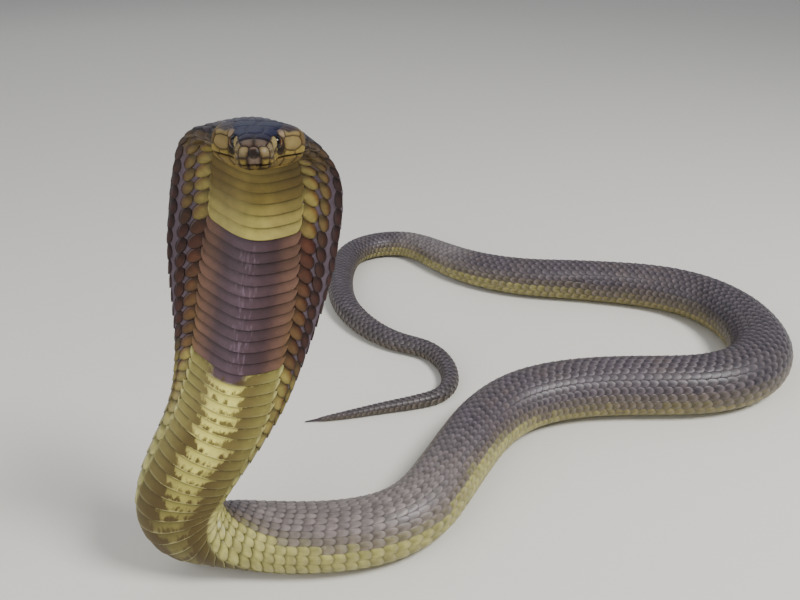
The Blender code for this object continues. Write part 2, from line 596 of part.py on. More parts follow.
def build_head(body):
    """Head, lower jaw and eyes."""
    shares = plain_shares(HEAD_RING_POINTS)
    rings = [ring_of(body, along, shares) for along in head_stations()]
    head = loft(rings, "head")
    jaw = head.copy()
    jaw.data = head.data.copy()
    jaw.name = "lower_jaw"
    bpy.context.scene.collection.objects.link(jaw)
    upper, lower = make_shields(body, head)
    apply_boolean(head, "UNION", upper)
    apply_boolean(jaw, "UNION", lower)
    half_gap = NODE_GAP / 2.0
    apply_boolean(head, "DIFFERENCE", [jaw_prism(body, -half_gap, "mouth_cut")])
    apply_boolean(jaw, "INTERSECT", [jaw_prism(body, half_gap, "jaw_cut")])
    centre, back, side, tangent = body.frame(EYE_ALONG)
    nose, nose_back, nose_side, nose_tangent = body.frame(NOSTRIL_ALONG)
    cutters = []
    for sign, name in ((1.0, "eye_left"), (-1.0, "eye_right")):
        inset = side_width(body, EYE_ALONG, EYE_HEIGHT) - EYE_RADIUS + EYE_SHOWS
        middle = centre + side * sign * inset + back * EYE_HEIGHT
        cutters.append(sphere(middle, EYE_RADIUS + NODE_GAP, "socket"))
        sphere(middle, EYE_RADIUS, name)
        width = side_width(body, NOSTRIL_ALONG, NOSTRIL_HEIGHT)
        rim = nose + nose_side * sign * width + nose_back * NOSTRIL_HEIGHT
        out = nose_side * sign - nose_tangent * NOSTRIL_SLANT
        cutters.append(rod(rim - out * NOSTRIL_SPAN[0], rim + out * NOSTRIL_SPAN[1],
                           NOSTRIL_RADIUS, "nostril"))
    apply_boolean(head, "DIFFERENCE", cutters)
    keep_largest(head)
    keep_largest(jaw)


def build_lengths(body):
    """Every length of the body behind the head, each with its flat ends."""
    start = 0.0
    for name, end in (*HOOD_NODES, *BEND_NODES):
        loft(scute_rings(body, start, end), name)
        start = end
    for name, end in LYING_NODES:
        points = TAIL_RING_POINTS if name.startswith("tail") else BODY_RING_POINTS
        loft(body_rings(body, start, end, points), name)
        start = end


def material_of(name):
    """Finish of a node from its name."""
    if name.startswith("eye"):
        return "eye_gloss"
    if name == "lower_jaw":
        return "jaw_scales"
    if name == "head":
        return "head_scales"
    if name in ("nape", "hood_upper", "hood_lower"):
        return "hood_scales"
    if name.startswith("neck"):
        return "belly_scutes"
    return "back_scales"


def main():
    """Build the snake."""
    clear_scene()
    materials = make_materials()
    body = Body()
    build_head(body)
    build_lengths(body)
    for thing in bpy.data.objects:
        thing.data.materials.clear()
        thing.data.materials.append(materials[material_of(thing.name)])


main()
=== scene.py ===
"""Egyptian cobra, life size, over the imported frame, with floor, light and camera.

Lengths are in millimetres in the tables and in metres in the meshes. A place on the snake is
told by its distance behind the nape and by its girth place: 0 mid belly, 1 mid back and 2 mid
belly again, first up the snake's left side and then down its right side.
"""
import logging
import math
from dataclasses import dataclass, field
from enum import Enum

import bpy
import numpy as np
from bpy.types import ID, Material, Mesh, Node, NodeSocket, NodeTree, Object
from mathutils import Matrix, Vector

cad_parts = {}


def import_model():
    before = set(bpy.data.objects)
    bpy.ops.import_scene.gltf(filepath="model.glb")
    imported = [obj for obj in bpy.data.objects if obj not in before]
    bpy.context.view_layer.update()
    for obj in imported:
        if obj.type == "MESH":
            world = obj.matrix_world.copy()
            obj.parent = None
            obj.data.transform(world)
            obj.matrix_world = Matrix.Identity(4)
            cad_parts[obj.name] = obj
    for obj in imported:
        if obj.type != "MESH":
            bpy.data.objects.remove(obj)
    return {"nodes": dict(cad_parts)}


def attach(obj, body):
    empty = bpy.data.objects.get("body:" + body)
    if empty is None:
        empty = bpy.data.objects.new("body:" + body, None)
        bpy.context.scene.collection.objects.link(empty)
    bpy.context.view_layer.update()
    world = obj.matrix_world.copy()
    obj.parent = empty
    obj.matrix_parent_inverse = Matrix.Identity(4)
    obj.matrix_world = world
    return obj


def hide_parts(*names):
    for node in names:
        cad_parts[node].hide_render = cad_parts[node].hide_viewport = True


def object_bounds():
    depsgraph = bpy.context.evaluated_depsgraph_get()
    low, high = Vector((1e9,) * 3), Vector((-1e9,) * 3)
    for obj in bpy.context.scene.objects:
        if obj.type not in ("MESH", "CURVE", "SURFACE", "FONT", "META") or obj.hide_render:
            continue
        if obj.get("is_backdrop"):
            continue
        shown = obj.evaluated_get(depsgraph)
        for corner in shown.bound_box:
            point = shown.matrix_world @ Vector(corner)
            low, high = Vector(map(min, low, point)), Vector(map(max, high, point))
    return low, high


MM = 0.001
LOG = logging.getLogger("cobra")

# Spine of the raised front from snout to ground: x, y and height.
RAISED_SPINE = (
    (-56.9, 302.8, 266.5), (-59.9, 327.5, 263), (-63, 350.5, 259), (-66, 363.5, 254.5),
    (-68.2, 372.3, 243.5), (-69.5, 375.5, 230), (-72.4, 375.3, 210), (-78.5, 373.5, 176),
    (-86.2, 370.5, 138), (-97.5, 366, 104), (-110.8, 360, 80), (-122.8, 355.8, 57.5),
    (-126, 354, 45.5), (-123.2, 353, 33), (-114.5, 353.8, 23.6), (-101, 356, 19.5),
)
# Spine of the lying loops in plan, from the bend to the tail tip.
LYING_SPINE = (
    (-80, 356.8), (-50, 356.6), (-25, 360), (-4, 368), (12.5, 382),
    (26.8, 405), (42.5, 435), (62.2, 468), (87, 493), (120, 508),
    (158, 514.2), (200, 515.2), (240, 519), (272.5, 534), (295.5, 562),
    (302.5, 595), (298, 630), (280, 662), (248, 685), (210, 697),
    (170, 705), (130, 711.5), (96, 723.5), (64, 745), (35, 778),
    (5, 803), (-25, 802), (-48, 785), (-58, 755), (-59.5, 718),
    (-54.5, 679), (-43, 648), (-25, 621), (1, 600), (24, 588),
    (37, 568), (40.5, 545), (33, 525), (15, 515), (-12, 507.5),
    (-45, 498.5), (-76, 492.5),
)
# Section at each distance behind the nape: half width, height above and depth below the
# spine, share of the flat hood form, forward camber of the hood's sides, squareness.
SECTIONS = (
    (-50.6, 1.2, 0.8, 1.4, 0, 0, 2.2), (-50.2, 3.6, 2, 3.4, 0, 0, 2.3),
    (-49.2, 5.6, 3.5, 5.2, 0, 0, 2.4), (-47, 7.3, 5, 6.5, 0, 0, 2.7),
    (-43, 8.2, 6.5, 7.4, 0, 0, 2.9), (-37, 8.9, 7.9, 8.3, 0, 0, 3),
    (-32, 9.6, 8.6, 9.1, 0, 0, 3.1), (-28, 11.4, 9, 9.6, 0, 0, 3.1),
    (-24, 14.8, 9.2, 9.9, 0, 0, 3.1), (-20, 17.7, 9.3, 10.1, 0, 0, 3.1),
    (-16, 19.6, 9.3, 10.2, 0, 0, 3), (-8, 20.6, 9.3, 9.8, 0, 0, 2.9),
    (0, 20.8, 9.4, 9, 0.1, 0, 2.6), (6, 24.4, 10, 9.1, 0.3, 0, 2.2),
    (12, 29.6, 10.8, 9.4, 0.6, 0, 2), (20, 35.4, 11.3, 10, 0.9, 1, 2),
    (30, 40, 11.5, 10.5, 1, 2, 2), (42, 42.8, 11.5, 10.5, 1, 3, 2),
    (55, 43.8, 11.5, 11, 1, 4, 2), (75, 43.4, 12, 11, 1, 5, 2),
    (95, 41.2, 12.5, 11.5, 1, 5, 2), (115, 38.2, 13, 12, 0.9, 4, 2),
    (135, 35.2, 14, 13.5, 0.7, 3, 2), (155, 32.5, 15.5, 15, 0.45, 1.5, 2),
    (175, 29.8, 17.5, 16.5, 0.2, 0.5, 2), (195, 27.8, 19, 18, 0, 0, 2),
    (220, 26, 20, 19, 0, 0, 2), (245, 24.2, 20.5, 19, 0, 0, 2),
    (300, 21.8, 20.2, 17.5, 0, 0, 2), (420, 21.4, 20.6, 17.6, 0, 0, 2),
    (560, 23.8, 22.6, 18.8, 0, 0, 2), (660, 24.3, 23, 19.2, 0, 0, 2),
    (760, 24.5, 22.8, 19.2, 0, 0, 2), (880, 23.2, 21.8, 18.4, 0, 0, 2),
    (1000, 20.8, 19.7, 16.6, 0, 0, 2), (1100, 18.5, 17.5, 14.8, 0, 0, 2),
    (1180, 15.2, 14.4, 12.4, 0, 0, 2), (1260, 13.6, 13, 11, 0, 0, 2),
    (1340, 12.4, 11.8, 10, 0, 0, 2), (1400, 11, 10.5, 9, 0, 0, 2),
    (1470, 8.8, 8.4, 7.2, 0, 0, 2), (1540, 7, 6.7, 5.8, 0, 0, 2),
    (1600, 5, 4.8, 4.2, 0, 0, 2), (1640, 3.2, 3, 2.6, 0, 0, 2),
    (1664, 1, 1, 0.9, 0, 0, 2),
)
# Which way the back faces at each distance behind the nape.
BACK_FACES = (
    (-50.6, (0, 0.15, 0.985)), (0, (0.05, 0.25, 0.96)), (20, (0.06, 0.80, 0.60)),
    (35, (0.06, 1, 0.12)), (60, (0.05, 1, 0)), (180, (-0.02, 1, 0)),
    (225, (-0.02, 1, 0)), (250, (0.10, 1, 0.15)), (265, (0.10, 0.85, 0.55)),
    (280, (0.10, 0.45, 0.90)), (300, (0, 0.10, 1)), (315, (0, 0, 1)),
    (1700, (0, 0, 1)),
)
# Share of the half girth that a belly scute covers, from the middle of the belly.
SCUTE_REACH = (
    (0, 0.26), (60, 0.25), (110, 0.30), (160, 0.33), (290, 0.33), (420, 0.30),
    (1290, 0.28), (1661, 0.26),
)
# Length of body that one belly scute takes, at each distance behind the nape.
SCUTE_PITCH = (
    (0, 6), (60, 6.2), (200, 6.5), (290, 6.2), (420, 6.4), (760, 7.3),
    (1000, 6.9), (1290, 6), (1400, 5.6), (1550, 4.8), (1661, 3.8),
)


def hex_rgb(code: str) -> np.ndarray:
    """Turn an sRGB hex colour into linear RGB.

    Args:
        code: Six hex digits with a leading hash sign.

    Returns:
        Three linear values.
    """
    channels = np.array([int(code[i:i + 2], 16) for i in (1, 3, 5)]) / 255.0
    return np.where(channels <= 0.04045, channels / 12.92, ((channels + 0.055) / 1.055) ** 2.4)


def smoothed(values: np.ndarray, window: int) -> np.ndarray:
    """Average values over a bell-shaped window.

    Args:
        values: Evenly spaced samples.
        window: Odd number of samples in the window.

    Returns:
        As many averaged samples.
    """
    bell = np.hanning(window + 2)[1:-1]
    padded = np.pad(values, (window // 2, window // 2), mode="edge")
    return np.convolve(padded, bell / bell.sum(), "valid")


def ease(values: np.ndarray, low: float, high: float) -> np.ndarray:
    """Smooth step from 0 at low to 1 at high.

    Args:
        values: Where the step is read.
        low: Value at which it leaves 0.
        high: Value at which it reaches 1.

    Returns:
        The step's value at each place.
    """
    share = np.clip((values - low) / (high - low), 0.0, 1.0)
    return share * share * (3.0 - 2.0 * share)


def fade(values: np.ndarray, low: float, high: float) -> np.ndarray:
    """Smooth step from 1 at low down to 0 at high."""
    return 1.0 - ease(values, low, high)


def window(values: np.ndarray, rise: tuple[float, float], fall: tuple[float, float]) -> np.ndarray:
    """Smooth window that opens across the rise and closes across the fall."""
    return ease(values, *rise) * fade(values, *fall)


def mix(base: np.ndarray | str, tone: np.ndarray | str, share: np.ndarray) -> np.ndarray:
    """Blend colours, given as linear rows or as one hex code, by a share for each row."""
    first, second = (hex_rgb(colour) if isinstance(colour, str) else colour
                     for colour in (base, tone))
    return first * (1.0 - share[:, None]) + second * share[:, None]


def layered(base: np.ndarray, *washes: tuple) -> np.ndarray:
    """Blend tones over a base, one after another, each by its share."""
    for tone, share in washes:
        base = mix(base, tone, share)
    return base


def read_table(table: tuple, at: np.ndarray) -> np.ndarray:
    """Read a table of (place, value) rows at the given places."""
    rows = np.array(table)
    return np.interp(at, rows[:, 0], rows[:, 1])


def gather(parts: list[dict]) -> dict:
    """Join tables of the same columns end to end."""
    return {key: np.concatenate([part[key] for part in parts]) for key in parts[0]}


def cubic_through(knots: np.ndarray, values: np.ndarray, at: np.ndarray) -> np.ndarray:
    """Natural cubic spline through rows of values.

    Args:
        knots: Rising places of the rows.
        values: One row for each knot.
        at: Places to read.

    Returns:
        One row for each place.
    """
    count = len(knots)
    spans = np.diff(knots)
    matrix = np.eye(count)
    right = np.zeros_like(values)
    for i in range(1, count - 1):
        matrix[i, i - 1:i + 2] = spans[i - 1], 2.0 * (spans[i - 1] + spans[i]), spans[i]
        slope_after = (values[i + 1] - values[i]) / spans[i]
        slope_before = (values[i] - values[i - 1]) / spans[i - 1]
        right[i] = 6.0 * (slope_after - slope_before)
    bends = np.linalg.solve(matrix, right)
    k = np.clip(np.searchsorted(knots, at) - 1, 0, count - 2)
    span = spans[k][:, None]
    after = (at - knots[k])[:, None]
    before = span - after
    curve = (bends[k] * before ** 3 + bends[k + 1] * after ** 3) / (6.0 * span)
    return (curve + (values[k] / span - bends[k] * span / 6.0) * before
            + (values[k + 1] / span - bends[k + 1] * span / 6.0) * after)


def monotone_through(knots: np.ndarray, values: np.ndarray, at: np.ndarray) -> np.ndarray:
    """Smooth curve through values that never overshoots them.

    Args:
        knots: Rising places of the values.
        values: One value for each knot.
        at: Places to read.

    Returns:
        One value for each place.
    """
    spans = np.diff(knots)
    slopes = np.diff(values) / spans
    flat = slopes[:-1] * slopes[1:] <= 0.0
    before = 2.0 * spans[1:] + spans[:-1]
    after = spans[1:] + 2.0 * spans[:-1]
    safe = np.where(flat, 1.0, slopes[:-1]), np.where(flat, 1.0, slopes[1:])
    inner = np.where(flat, 0.0, (before + after) / (before / safe[0] + after / safe[1]))
    ends = np.concatenate([[slopes[0]], inner, [slopes[-1]]])
    k = np.clip(np.searchsorted(knots, at, side="right") - 1, 0, len(knots) - 2)
    span = spans[k]
    t = np.clip((at - knots[k]) / span, 0.0, 1.0)
    t2, t3 = t ** 2, t ** 3
    return ((2 * t3 - 3 * t2 + 1) * values[k] + (t3 - 2 * t2 + t) * span * ends[k]
            + (3 * t2 - 2 * t3) * values[k + 1] + (t3 - t2) * span * ends[k + 1])


@dataclass
class Body:
    """The snake's spine, its frames and its sections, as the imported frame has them."""

    plan_shift: tuple[float, float] = (-88.0, -560.2)
    step: float = 1.0
    nape_point: int = 2
    turn_window: int = 31
    hood_rim: float = 3.0
    hood_core_width: float = 17.5
    belly_squareness: float = 2.5
    belly_press: float = 0.4
    bend_middle: float = 255.0
    bend_reach: float = 50.0
    bend_softness: int = 91
    floor_start: float = 250.0
    press_reach: float = 50.0
    lift_window: int = 15
    ring_samples: int = 72
    s: np.ndarray = field(init=False)
    centre: np.ndarray = field(init=False)
    normal: np.ndarray = field(init=False)
    back: np.ndarray = field(init=False)
    side: np.ndarray = field(init=False)

    def __post_init__(self) -> None:
        """Sample the spine and its frames and rest the belly on the floor."""
        table = np.array(SECTIONS)
        points = np.array([*RAISED_SPINE, *((x, y, 0.0) for x, y in LYING_SPINE)])
        raised = len(RAISED_SPINE)
        for _ in range(3):
            steps = np.linalg.norm(np.diff(points, axis=0), axis=1)
            knots = np.concatenate([[0.0], np.cumsum(steps)])
            along = knots - knots[self.nape_point]
            points[raised:, 2] = np.interp(along[raised:], table[:, 0], table[:, 3])
        dense = np.arange(0.0, knots[-1], self.step / 4.0)
        curve = cubic_through(knots, points, dense)
        steps = np.linalg.norm(np.diff(curve, axis=0), axis=1)
        lengths = np.concatenate([[0.0], np.cumsum(steps)])
        nape = np.interp(knots[self.nape_point], dense, lengths)
        self.s = np.arange(table[0, 0], lengths[-1] - nape, self.step)
        self.centre = np.stack([np.interp(self.s + nape, lengths, column)
                                for column in curve.T], axis=1)
        missing = self.s + nape < 0.0
        tangent = np.gradient(self.centre, axis=0)
        first = int(missing.sum())
        tangent[:first + 1] = tangent[first + 1]
        for i in range(first - 1, -1, -1):
            pace = tangent[i] / np.linalg.norm(tangent[i])
            self.centre[i] = self.centre[i + 1] - pace * self.step
        tangent /= np.linalg.norm(tangent, axis=1)[:, None]
        soft = np.stack([smoothed(column, self.bend_softness) for column in tangent.T], axis=1)
        share = np.exp(-((self.s - self.bend_middle) / self.bend_reach) ** 2)[:, None]
        self.normal = tangent + (soft - tangent) * share
        self.normal /= np.linalg.norm(self.normal, axis=1)[:, None]
        back_at = np.array([row[0] for row in BACK_FACES])
        facing = np.array([row[1] for row in BACK_FACES])
        back = np.stack([smoothed(np.interp(self.s, back_at, column), self.turn_window)
                         for column in facing.T], axis=1)
        back -= (back * self.normal).sum(axis=1)[:, None] * self.normal
        self.back = back / np.linalg.norm(back, axis=1)[:, None]
        self.side = np.cross(self.normal, self.back)
        self.centre[:, :2] += self.plan_shift
        self.rest_on_floor()

    def rest_on_floor(self) -> None:
        """Raise the spine where a section would pass under the floor."""
        angles = np.linspace(-math.pi, math.pi, self.ring_samples, endpoint=False)
        lying = self.s > self.floor_start
        across, up = self.section(self.s[lying], angles)
        low = (self.centre[lying, 2:3] + self.side[lying, 2:3] * across
               + self.back[lying, 2:3] * up).min(axis=1)
        press = np.clip((self.s[lying] - self.floor_start) / self.press_reach, 0.0, 1.0)
        lift = np.zeros(len(self.s))
        lift[lying] = np.maximum(-low, 0.0) - self.belly_press * press
        self.centre[:, 2] += smoothed(lift, self.lift_window)

    def sizes(self, along: np.ndarray) -> list[np.ndarray]:
        """Smooth section sizes at distances behind the nape, each as a column."""
        table = np.array(SECTIONS)
        return [monotone_through(table[:, 0], column, along)[:, None] for column in table.T[1:]]

    def section(self, along: np.ndarray, angles: np.ndarray) -> tuple[np.ndarray, np.ndarray]:
        """Offsets to the snake's left and to its back.

        Args:
            along: Distances behind the nape.
            angles: Angles from the middle of the back.

        Returns:
            Two arrays with a row for each distance and a column for each angle.
        """
        wide, high, deep, hood, camber, square = self.sizes(along)
        sine, cosine = np.sin(angles)[None, :], np.cos(angles)[None, :]
        over = cosine >= 0.0
        round_across = wide * np.sign(sine) * np.abs(sine) ** (2.0 / square)
        round_back = high * np.abs(cosine) ** (2.0 / square)
        belly_power = np.maximum(self.belly_squareness, square)
        fill = np.clip(1.0 - (np.abs(round_across) / wide) ** belly_power, 0.0, 1.0)
        round_up = np.where(over, round_back, -deep * fill ** (1.0 / belly_power))
        taper = np.abs(cosine) ** 0.6
        depth = np.where(over, high, deep) - self.hood_rim
        core = depth * np.exp(-(round_across / self.hood_core_width) ** 2)
        flat_up = np.where(over, 1.0, -1.0) * (self.hood_rim + core) * taper
        lean = camber * (round_across / wide) ** 2
        return round_across, (1.0 - hood) * round_up + hood * flat_up - lean

    def frames(self, along: np.ndarray) -> list[np.ndarray]:
        """Spine points, back, side and section normal at distances behind the nape."""
        made = []
        for rows in (self.centre, self.back, self.side, self.normal):
            made.append(np.stack([np.interp(along, self.s, column) for column in rows.T], axis=1))
        return [made[0], *(rows / np.linalg.norm(rows, axis=1)[:, None] for rows in made[1:])]


@dataclass
class Patch:
    """A grid of surface points with their normals and section offsets."""

    along: np.ndarray
    girth: np.ndarray
    points: np.ndarray
    normals: np.ndarray
    across: np.ndarray
    up: np.ndarray
    half_girth: np.ndarray


@dataclass
class Surface:
    """The skin's surface, a scale's depth inside the solids, and the way from flat to round."""

    body: Body
    box: np.ndarray
    inset: float = 0.65
    inset_share: float = 0.12
    columns: int = 144
    arc_samples: int = 361
    skin_floor: float = 0.3
    scale_floor: float = 0.02
    grid: Patch = field(init=False)

    def __post_init__(self) -> None:
        """Sample the whole surface once, for the scales."""
        self.grid = self.patch(self.body.s, self.columns)

    def patch(self, along: np.ndarray, columns: int) -> Patch:
        """Sample the surface on a grid.

        Args:
            along: Distances behind the nape.
            columns: Number of points round each ring.

        Returns:
            The grid of points, whose columns run once round from the middle of the belly.
        """
        angles = np.linspace(math.pi, 0.0, self.arc_samples)
        across, up = self.body.section(along, angles)
        across[:, 0] = 0.0
        across[:, -1] = 0.0
        steps = np.hypot(np.diff(across, axis=1), np.diff(up, axis=1))
        run = np.concatenate([np.zeros((len(along), 1)), np.cumsum(steps, axis=1)], axis=1)
        half = run[:, -1].copy()
        girth = np.arange(columns) * 2.0 / columns
        share = np.where(girth <= 1.0, girth, 2.0 - girth)
        sign = np.where(girth <= 1.0, 1.0, -1.0)
        a = np.stack([np.interp(share * half[i], run[i], across[i]) for i in range(len(along))])
        u = np.stack([np.interp(share * half[i], run[i], up[i]) for i in range(len(along))])
        a = a * sign
        slope_a = np.roll(a, -1, axis=1) - np.roll(a, 1, axis=1)
        slope_u = np.roll(u, -1, axis=1) - np.roll(u, 1, axis=1)
        size = np.hypot(slope_a, slope_u) + 1e-9
        inset = np.minimum(self.inset, self.inset_share * half[:, None])
        inner_a = a - slope_u / size * inset
        inner_u = u + slope_a / size * inset
        centre, back, side, _ = self.body.frames(along)
        points = (centre[:, None] + inner_a[..., None] * side[:, None]
                  + inner_u[..., None] * back[:, None])
        points[..., 2] = np.maximum(points[..., 2], self.skin_floor)
        down = np.gradient(points, axis=0)
        round_way = np.roll(points, -1, axis=1) - np.roll(points, 1, axis=1)
        normals = np.cross(down, round_way)
        normals /= np.linalg.norm(normals, axis=2)[..., None] + 1e-12
        outward = (normals * (points - centre[:, None])).sum(axis=2).mean()
        normals *= math.copysign(1.0, outward)
        return Patch(along, girth, points, normals, a, u, half)

    def wrap(self, along: np.ndarray, girth: np.ndarray, rise: np.ndarray) -> np.ndarray:
        """Lay flat places onto the surface.

        Args:
            along: Distances behind the nape.
            girth: Girth places, of any turn.
            rise: Heights above the skin.

        Returns:
            Points in millimetres.
        """
        last = len(self.grid.along) - 1.001
        row = np.clip((along - self.grid.along[0]) / self.body.step, 0, last)
        column = np.mod(girth, 2.0) * self.columns / 2.0
        i, j = row.astype(int), column.astype(int) % self.columns
        di, dj = (row - i)[:, None], (column - column.astype(int))[:, None]
        k = (j + 1) % self.columns
        out = []
        for cells in (self.grid.points, self.grid.normals):
            near = cells[i, j] * (1 - dj) + cells[i, k] * dj
            far = cells[i + 1, j] * (1 - dj) + cells[i + 1, k] * dj
            out.append(near * (1 - di) + far * di)
        normals = out[1] / (np.linalg.norm(out[1], axis=1)[:, None] + 1e-12)
        points = out[0] + normals * rise[:, None]
        points[:, 2] = np.maximum(points[:, 2], self.scale_floor)
        return self.kept_inside(points)

    def kept_inside(self, points: np.ndarray) -> np.ndarray:
        """Points held within the box of the solids."""
        return np.clip(points, self.box[0], self.box[1])

    def half_girth(self, along: np.ndarray) -> np.ndarray:
        """Half of the girth in millimetres at distances behind the nape."""
        return np.interp(along, self.grid.along, self.grid.half_girth)


class View(Enum):
    """The side from which a head shield's outline is given."""

    CROWN = "crown"
    FLANK = "flank"
    CHIN = "chin"
    FRONT = "front"


class Tone(Enum):
    """Colour of a head shield."""

    # The blue tint of the crown and brow tones is a painted reflection of the sky.
    CROWN = "#17182E"
    BROW = "#201B2C"
    SNOUT = "#5A4C40"
    NASAL = "#7B6C4C"
    PREOCULAR = "#8A7B50"
    POSTOCULAR = "#8E7A60"
    NOSE = "#6E5E50"
    LIP = "#84723A"
    CHEEK = "#7E6D44"
    TEMPLE = "#5E4B2B"
    # The lower lip and chin tones are darkened in part as painted shade under the head.
    LOWER_LIP = "#6F5D30"
    CHIN = "#6C5419"


# Head shields: name, view, tone, whether it has a twin on the other side, and its outline as
# distance behind the nape with a side offset (crown and chin) or a height (flank), or as a
# side offset with a height (front).
SHIELDS = (
    ("frontal", View.CROWN, Tone.CROWN, False,
     ((-37.6, -2.9), (-38.6, 0), (-37.6, 2.9), (-31, 3.6), (-25.6, 2.4), (-24.6, 0),
      (-25.6, -2.4), (-31, -3.6))),
    ("prefrontal", View.CROWN, Tone.BROW, True,
     ((-43.2, 0.3), (-43.4, 4.6), (-39.4, 6.4), (-37.6, 3.1), (-39, 0.3))),
    ("internasal", View.CROWN, Tone.SNOUT, True,
     ((-47.4, 0.3), (-46.8, 3.6), (-43.9, 4.4), (-43.7, 0.3))),
    ("supraocular", View.CROWN, Tone.CROWN, True,
     ((-37, 3.6), (-38.2, 6.2), (-34, 7.8), (-29, 8.6), (-25.8, 8.4), (-25.4, 3.4),
      (-31, 4.1))),
    ("parietal", View.CROWN, Tone.CROWN, True,
     ((-24.2, 0.3), (-25.2, 3), (-25, 8.8), (-19, 10.6), (-12, 8), (-9.5, 3),
      (-9.6, 0.3))),
    ("upper_temporal", View.CROWN, Tone.TEMPLE, True,
     ((-23.8, 10.2), (-22.4, 13.4), (-16, 16.2), (-12.6, 13.4), (-12.8, 10), (-18.6, 11.4))),
    ("rostral", View.FRONT, Tone.NOSE, False,
     ((-2.7, -3.5), (-3.3, -1.2), (-2, 1.6), (0, 3.1), (2, 1.6), (3.3, -1.2), (2.7, -3.5),
      (0.9, -3.1), (-0.9, -3.1))),
    ("front_nasal", View.FRONT, Tone.NASAL, True,
     ((3.7, -1), (2.5, 1.8), (3.9, 3.2), (5.6, 2.6), (6.1, -0.8))),
    ("rear_nasal", View.FLANK, Tone.NASAL, True,
     ((-46.6, 3.2), (-47, -1.4), (-43.6, -1.4), (-43.6, 3.6))),
    ("preocular", View.FLANK, Tone.PREOCULAR, True,
     ((-43.1, 3.6), (-43.1, 0.2), (-36, 0.4), (-35.4, 5.6), (-38.6, 5.4))),
    ("upper_lip_0", View.FRONT, Tone.LIP, True,
     ((3.1, -3.5), (3.7, -1.5), (6, -1.4), (6.2, -3.6))),
    ("upper_lip_1", View.FLANK, Tone.LIP, True,
     ((-47.6, -2), (-47.6, -3.6), (-43.6, -3.5), (-43.6, -1.9))),
    ("upper_lip_2", View.FLANK, Tone.LIP, True,
     ((-43.1, -0.2), (-43.1, -3.4), (-38.2, -3.3), (-38, 0))),
    ("upper_lip_3", View.FLANK, Tone.LIP, True,
     ((-37.7, -0.6), (-37.8, -3.3), (-33.2, -3.2), (-33, -1.3))),
    ("upper_lip_4", View.FLANK, Tone.LIP, True,
     ((-32.7, -1.4), (-32.8, -3.2), (-27.6, -3.1), (-27, -1))),
    ("upper_lip_5", View.FLANK, Tone.LIP, True,
     ((-27, -2.2), (-27, -3.1), (-22.6, -3), (-22.6, -2.2), (-25, -2))),
    ("upper_lip_6", View.FLANK, Tone.LIP, True,
     ((-21.8, -2), (-21.8, -3), (-14.4, -2.9), (-13.8, -1.4), (-16.6, -0.8), (-19.2, -1.2))),
    ("subocular_1", View.FLANK, Tone.CHEEK, True,
     ((-37.2, 0.3), (-36.6, -0.1), (-33.2, -0.8), (-33.2, 0.1))),
    ("subocular_2", View.FLANK, Tone.CHEEK, True,
     ((-32.8, -0.9), (-28.6, -0.8), (-28.8, -0.1), (-32.6, 0))),
    ("postocular_1", View.FLANK, Tone.POSTOCULAR, True,
     ((-28.2, 7.4), (-28.4, 5.6), (-26.9, 5.2), (-26.2, 7.2))),
    ("postocular_2", View.FLANK, Tone.CHEEK, True,
     ((-28.2, 3.4), (-28.6, -0.3), (-27.6, -0.5), (-27.7, 3))),
    ("temporal_1", View.FLANK, Tone.CHEEK, True,
     ((-27, 2), (-26.4, 0.2), (-24.4, -1), (-22, -1.1), (-19.8, 0), (-18.8, 1.8),
      (-19.8, 3.6), (-22.2, 4.3), (-25.4, 3.6))),
    ("temporal_2", View.FLANK, Tone.CHEEK, True,
     ((-25, 5.6), (-22, 5.4), (-19, 4.8), (-17.2, 5.6), (-17, 7.2), (-20, 8.2),
      (-24, 7.6))),
    ("temporal_3", View.FLANK, Tone.TEMPLE, True,
     ((-17.6, 3.2), (-16.6, 1), (-13.6, 0.2), (-10.6, 1), (-9.8, 3.4), (-10.8, 5.6),
      (-13.4, 6.2), (-15.8, 4.6))),
    ("mental", View.FRONT, Tone.LOWER_LIP, False,
     ((-2.2, -4.9), (2.2, -4.9), (1.2, -6.3), (-1.2, -6.3))),
    ("lower_lip_1", View.FRONT, Tone.LOWER_LIP, True,
     ((2.7, -4.9), (6, -4.8), (5.8, -6.2), (1.9, -6.4))),
    ("lower_lip_2", View.FLANK, Tone.LOWER_LIP, True,
     ((-46.2, -4.8), (-45.8, -6.7), (-39.6, -7.2), (-39.6, -4.7))),
    ("lower_lip_3", View.FLANK, Tone.LOWER_LIP, True,
     ((-39.1, -4.7), (-39.1, -7.3), (-33.8, -7.6), (-33.8, -4.6))),
    ("lower_lip_4", View.FLANK, Tone.LOWER_LIP, True,
     ((-33.3, -4.6), (-33.3, -7.8), (-27.4, -8), (-27.4, -4.5))),
    ("lower_lip_5", View.FLANK, Tone.LOWER_LIP, True,
     ((-26.9, -4.5), (-26.9, -7.4), (-21.2, -7.4), (-20.8, -4.4))),
    ("lower_lip_6", View.FLANK, Tone.LOWER_LIP, True,
     ((-20.4, -4.4), (-20.6, -7.2), (-14.6, -7.2), (-14.2, -4.2))),
    ("front_chin", View.CHIN, Tone.CHIN, True,
     ((-46.6, 0.3), (-47.6, 3), (-44.4, 5), (-39.4, 4), (-38.6, 0.3))),
    ("rear_chin", View.CHIN, Tone.CHIN, True,
     ((-38, 0.4), (-38.8, 4.4), (-33, 5.6), (-30, 3.6), (-30.6, 0.8))),
)


@dataclass
class Landmarks:
    """How points on the head lie to its shields, mouth line, eyes and nostrils."""

    place: np.ndarray
    border: np.ndarray
    drop: np.ndarray
    in_mouth: np.ndarray
    ring: np.ndarray
    hole: np.ndarray

    def spot(self) -> tuple[np.ndarray, np.ndarray, np.ndarray]:
        """Distances behind the nape, distances from the middle plane and heights."""
        return self.place[:, 0], np.abs(self.place[:, 1]), self.place[:, 2]


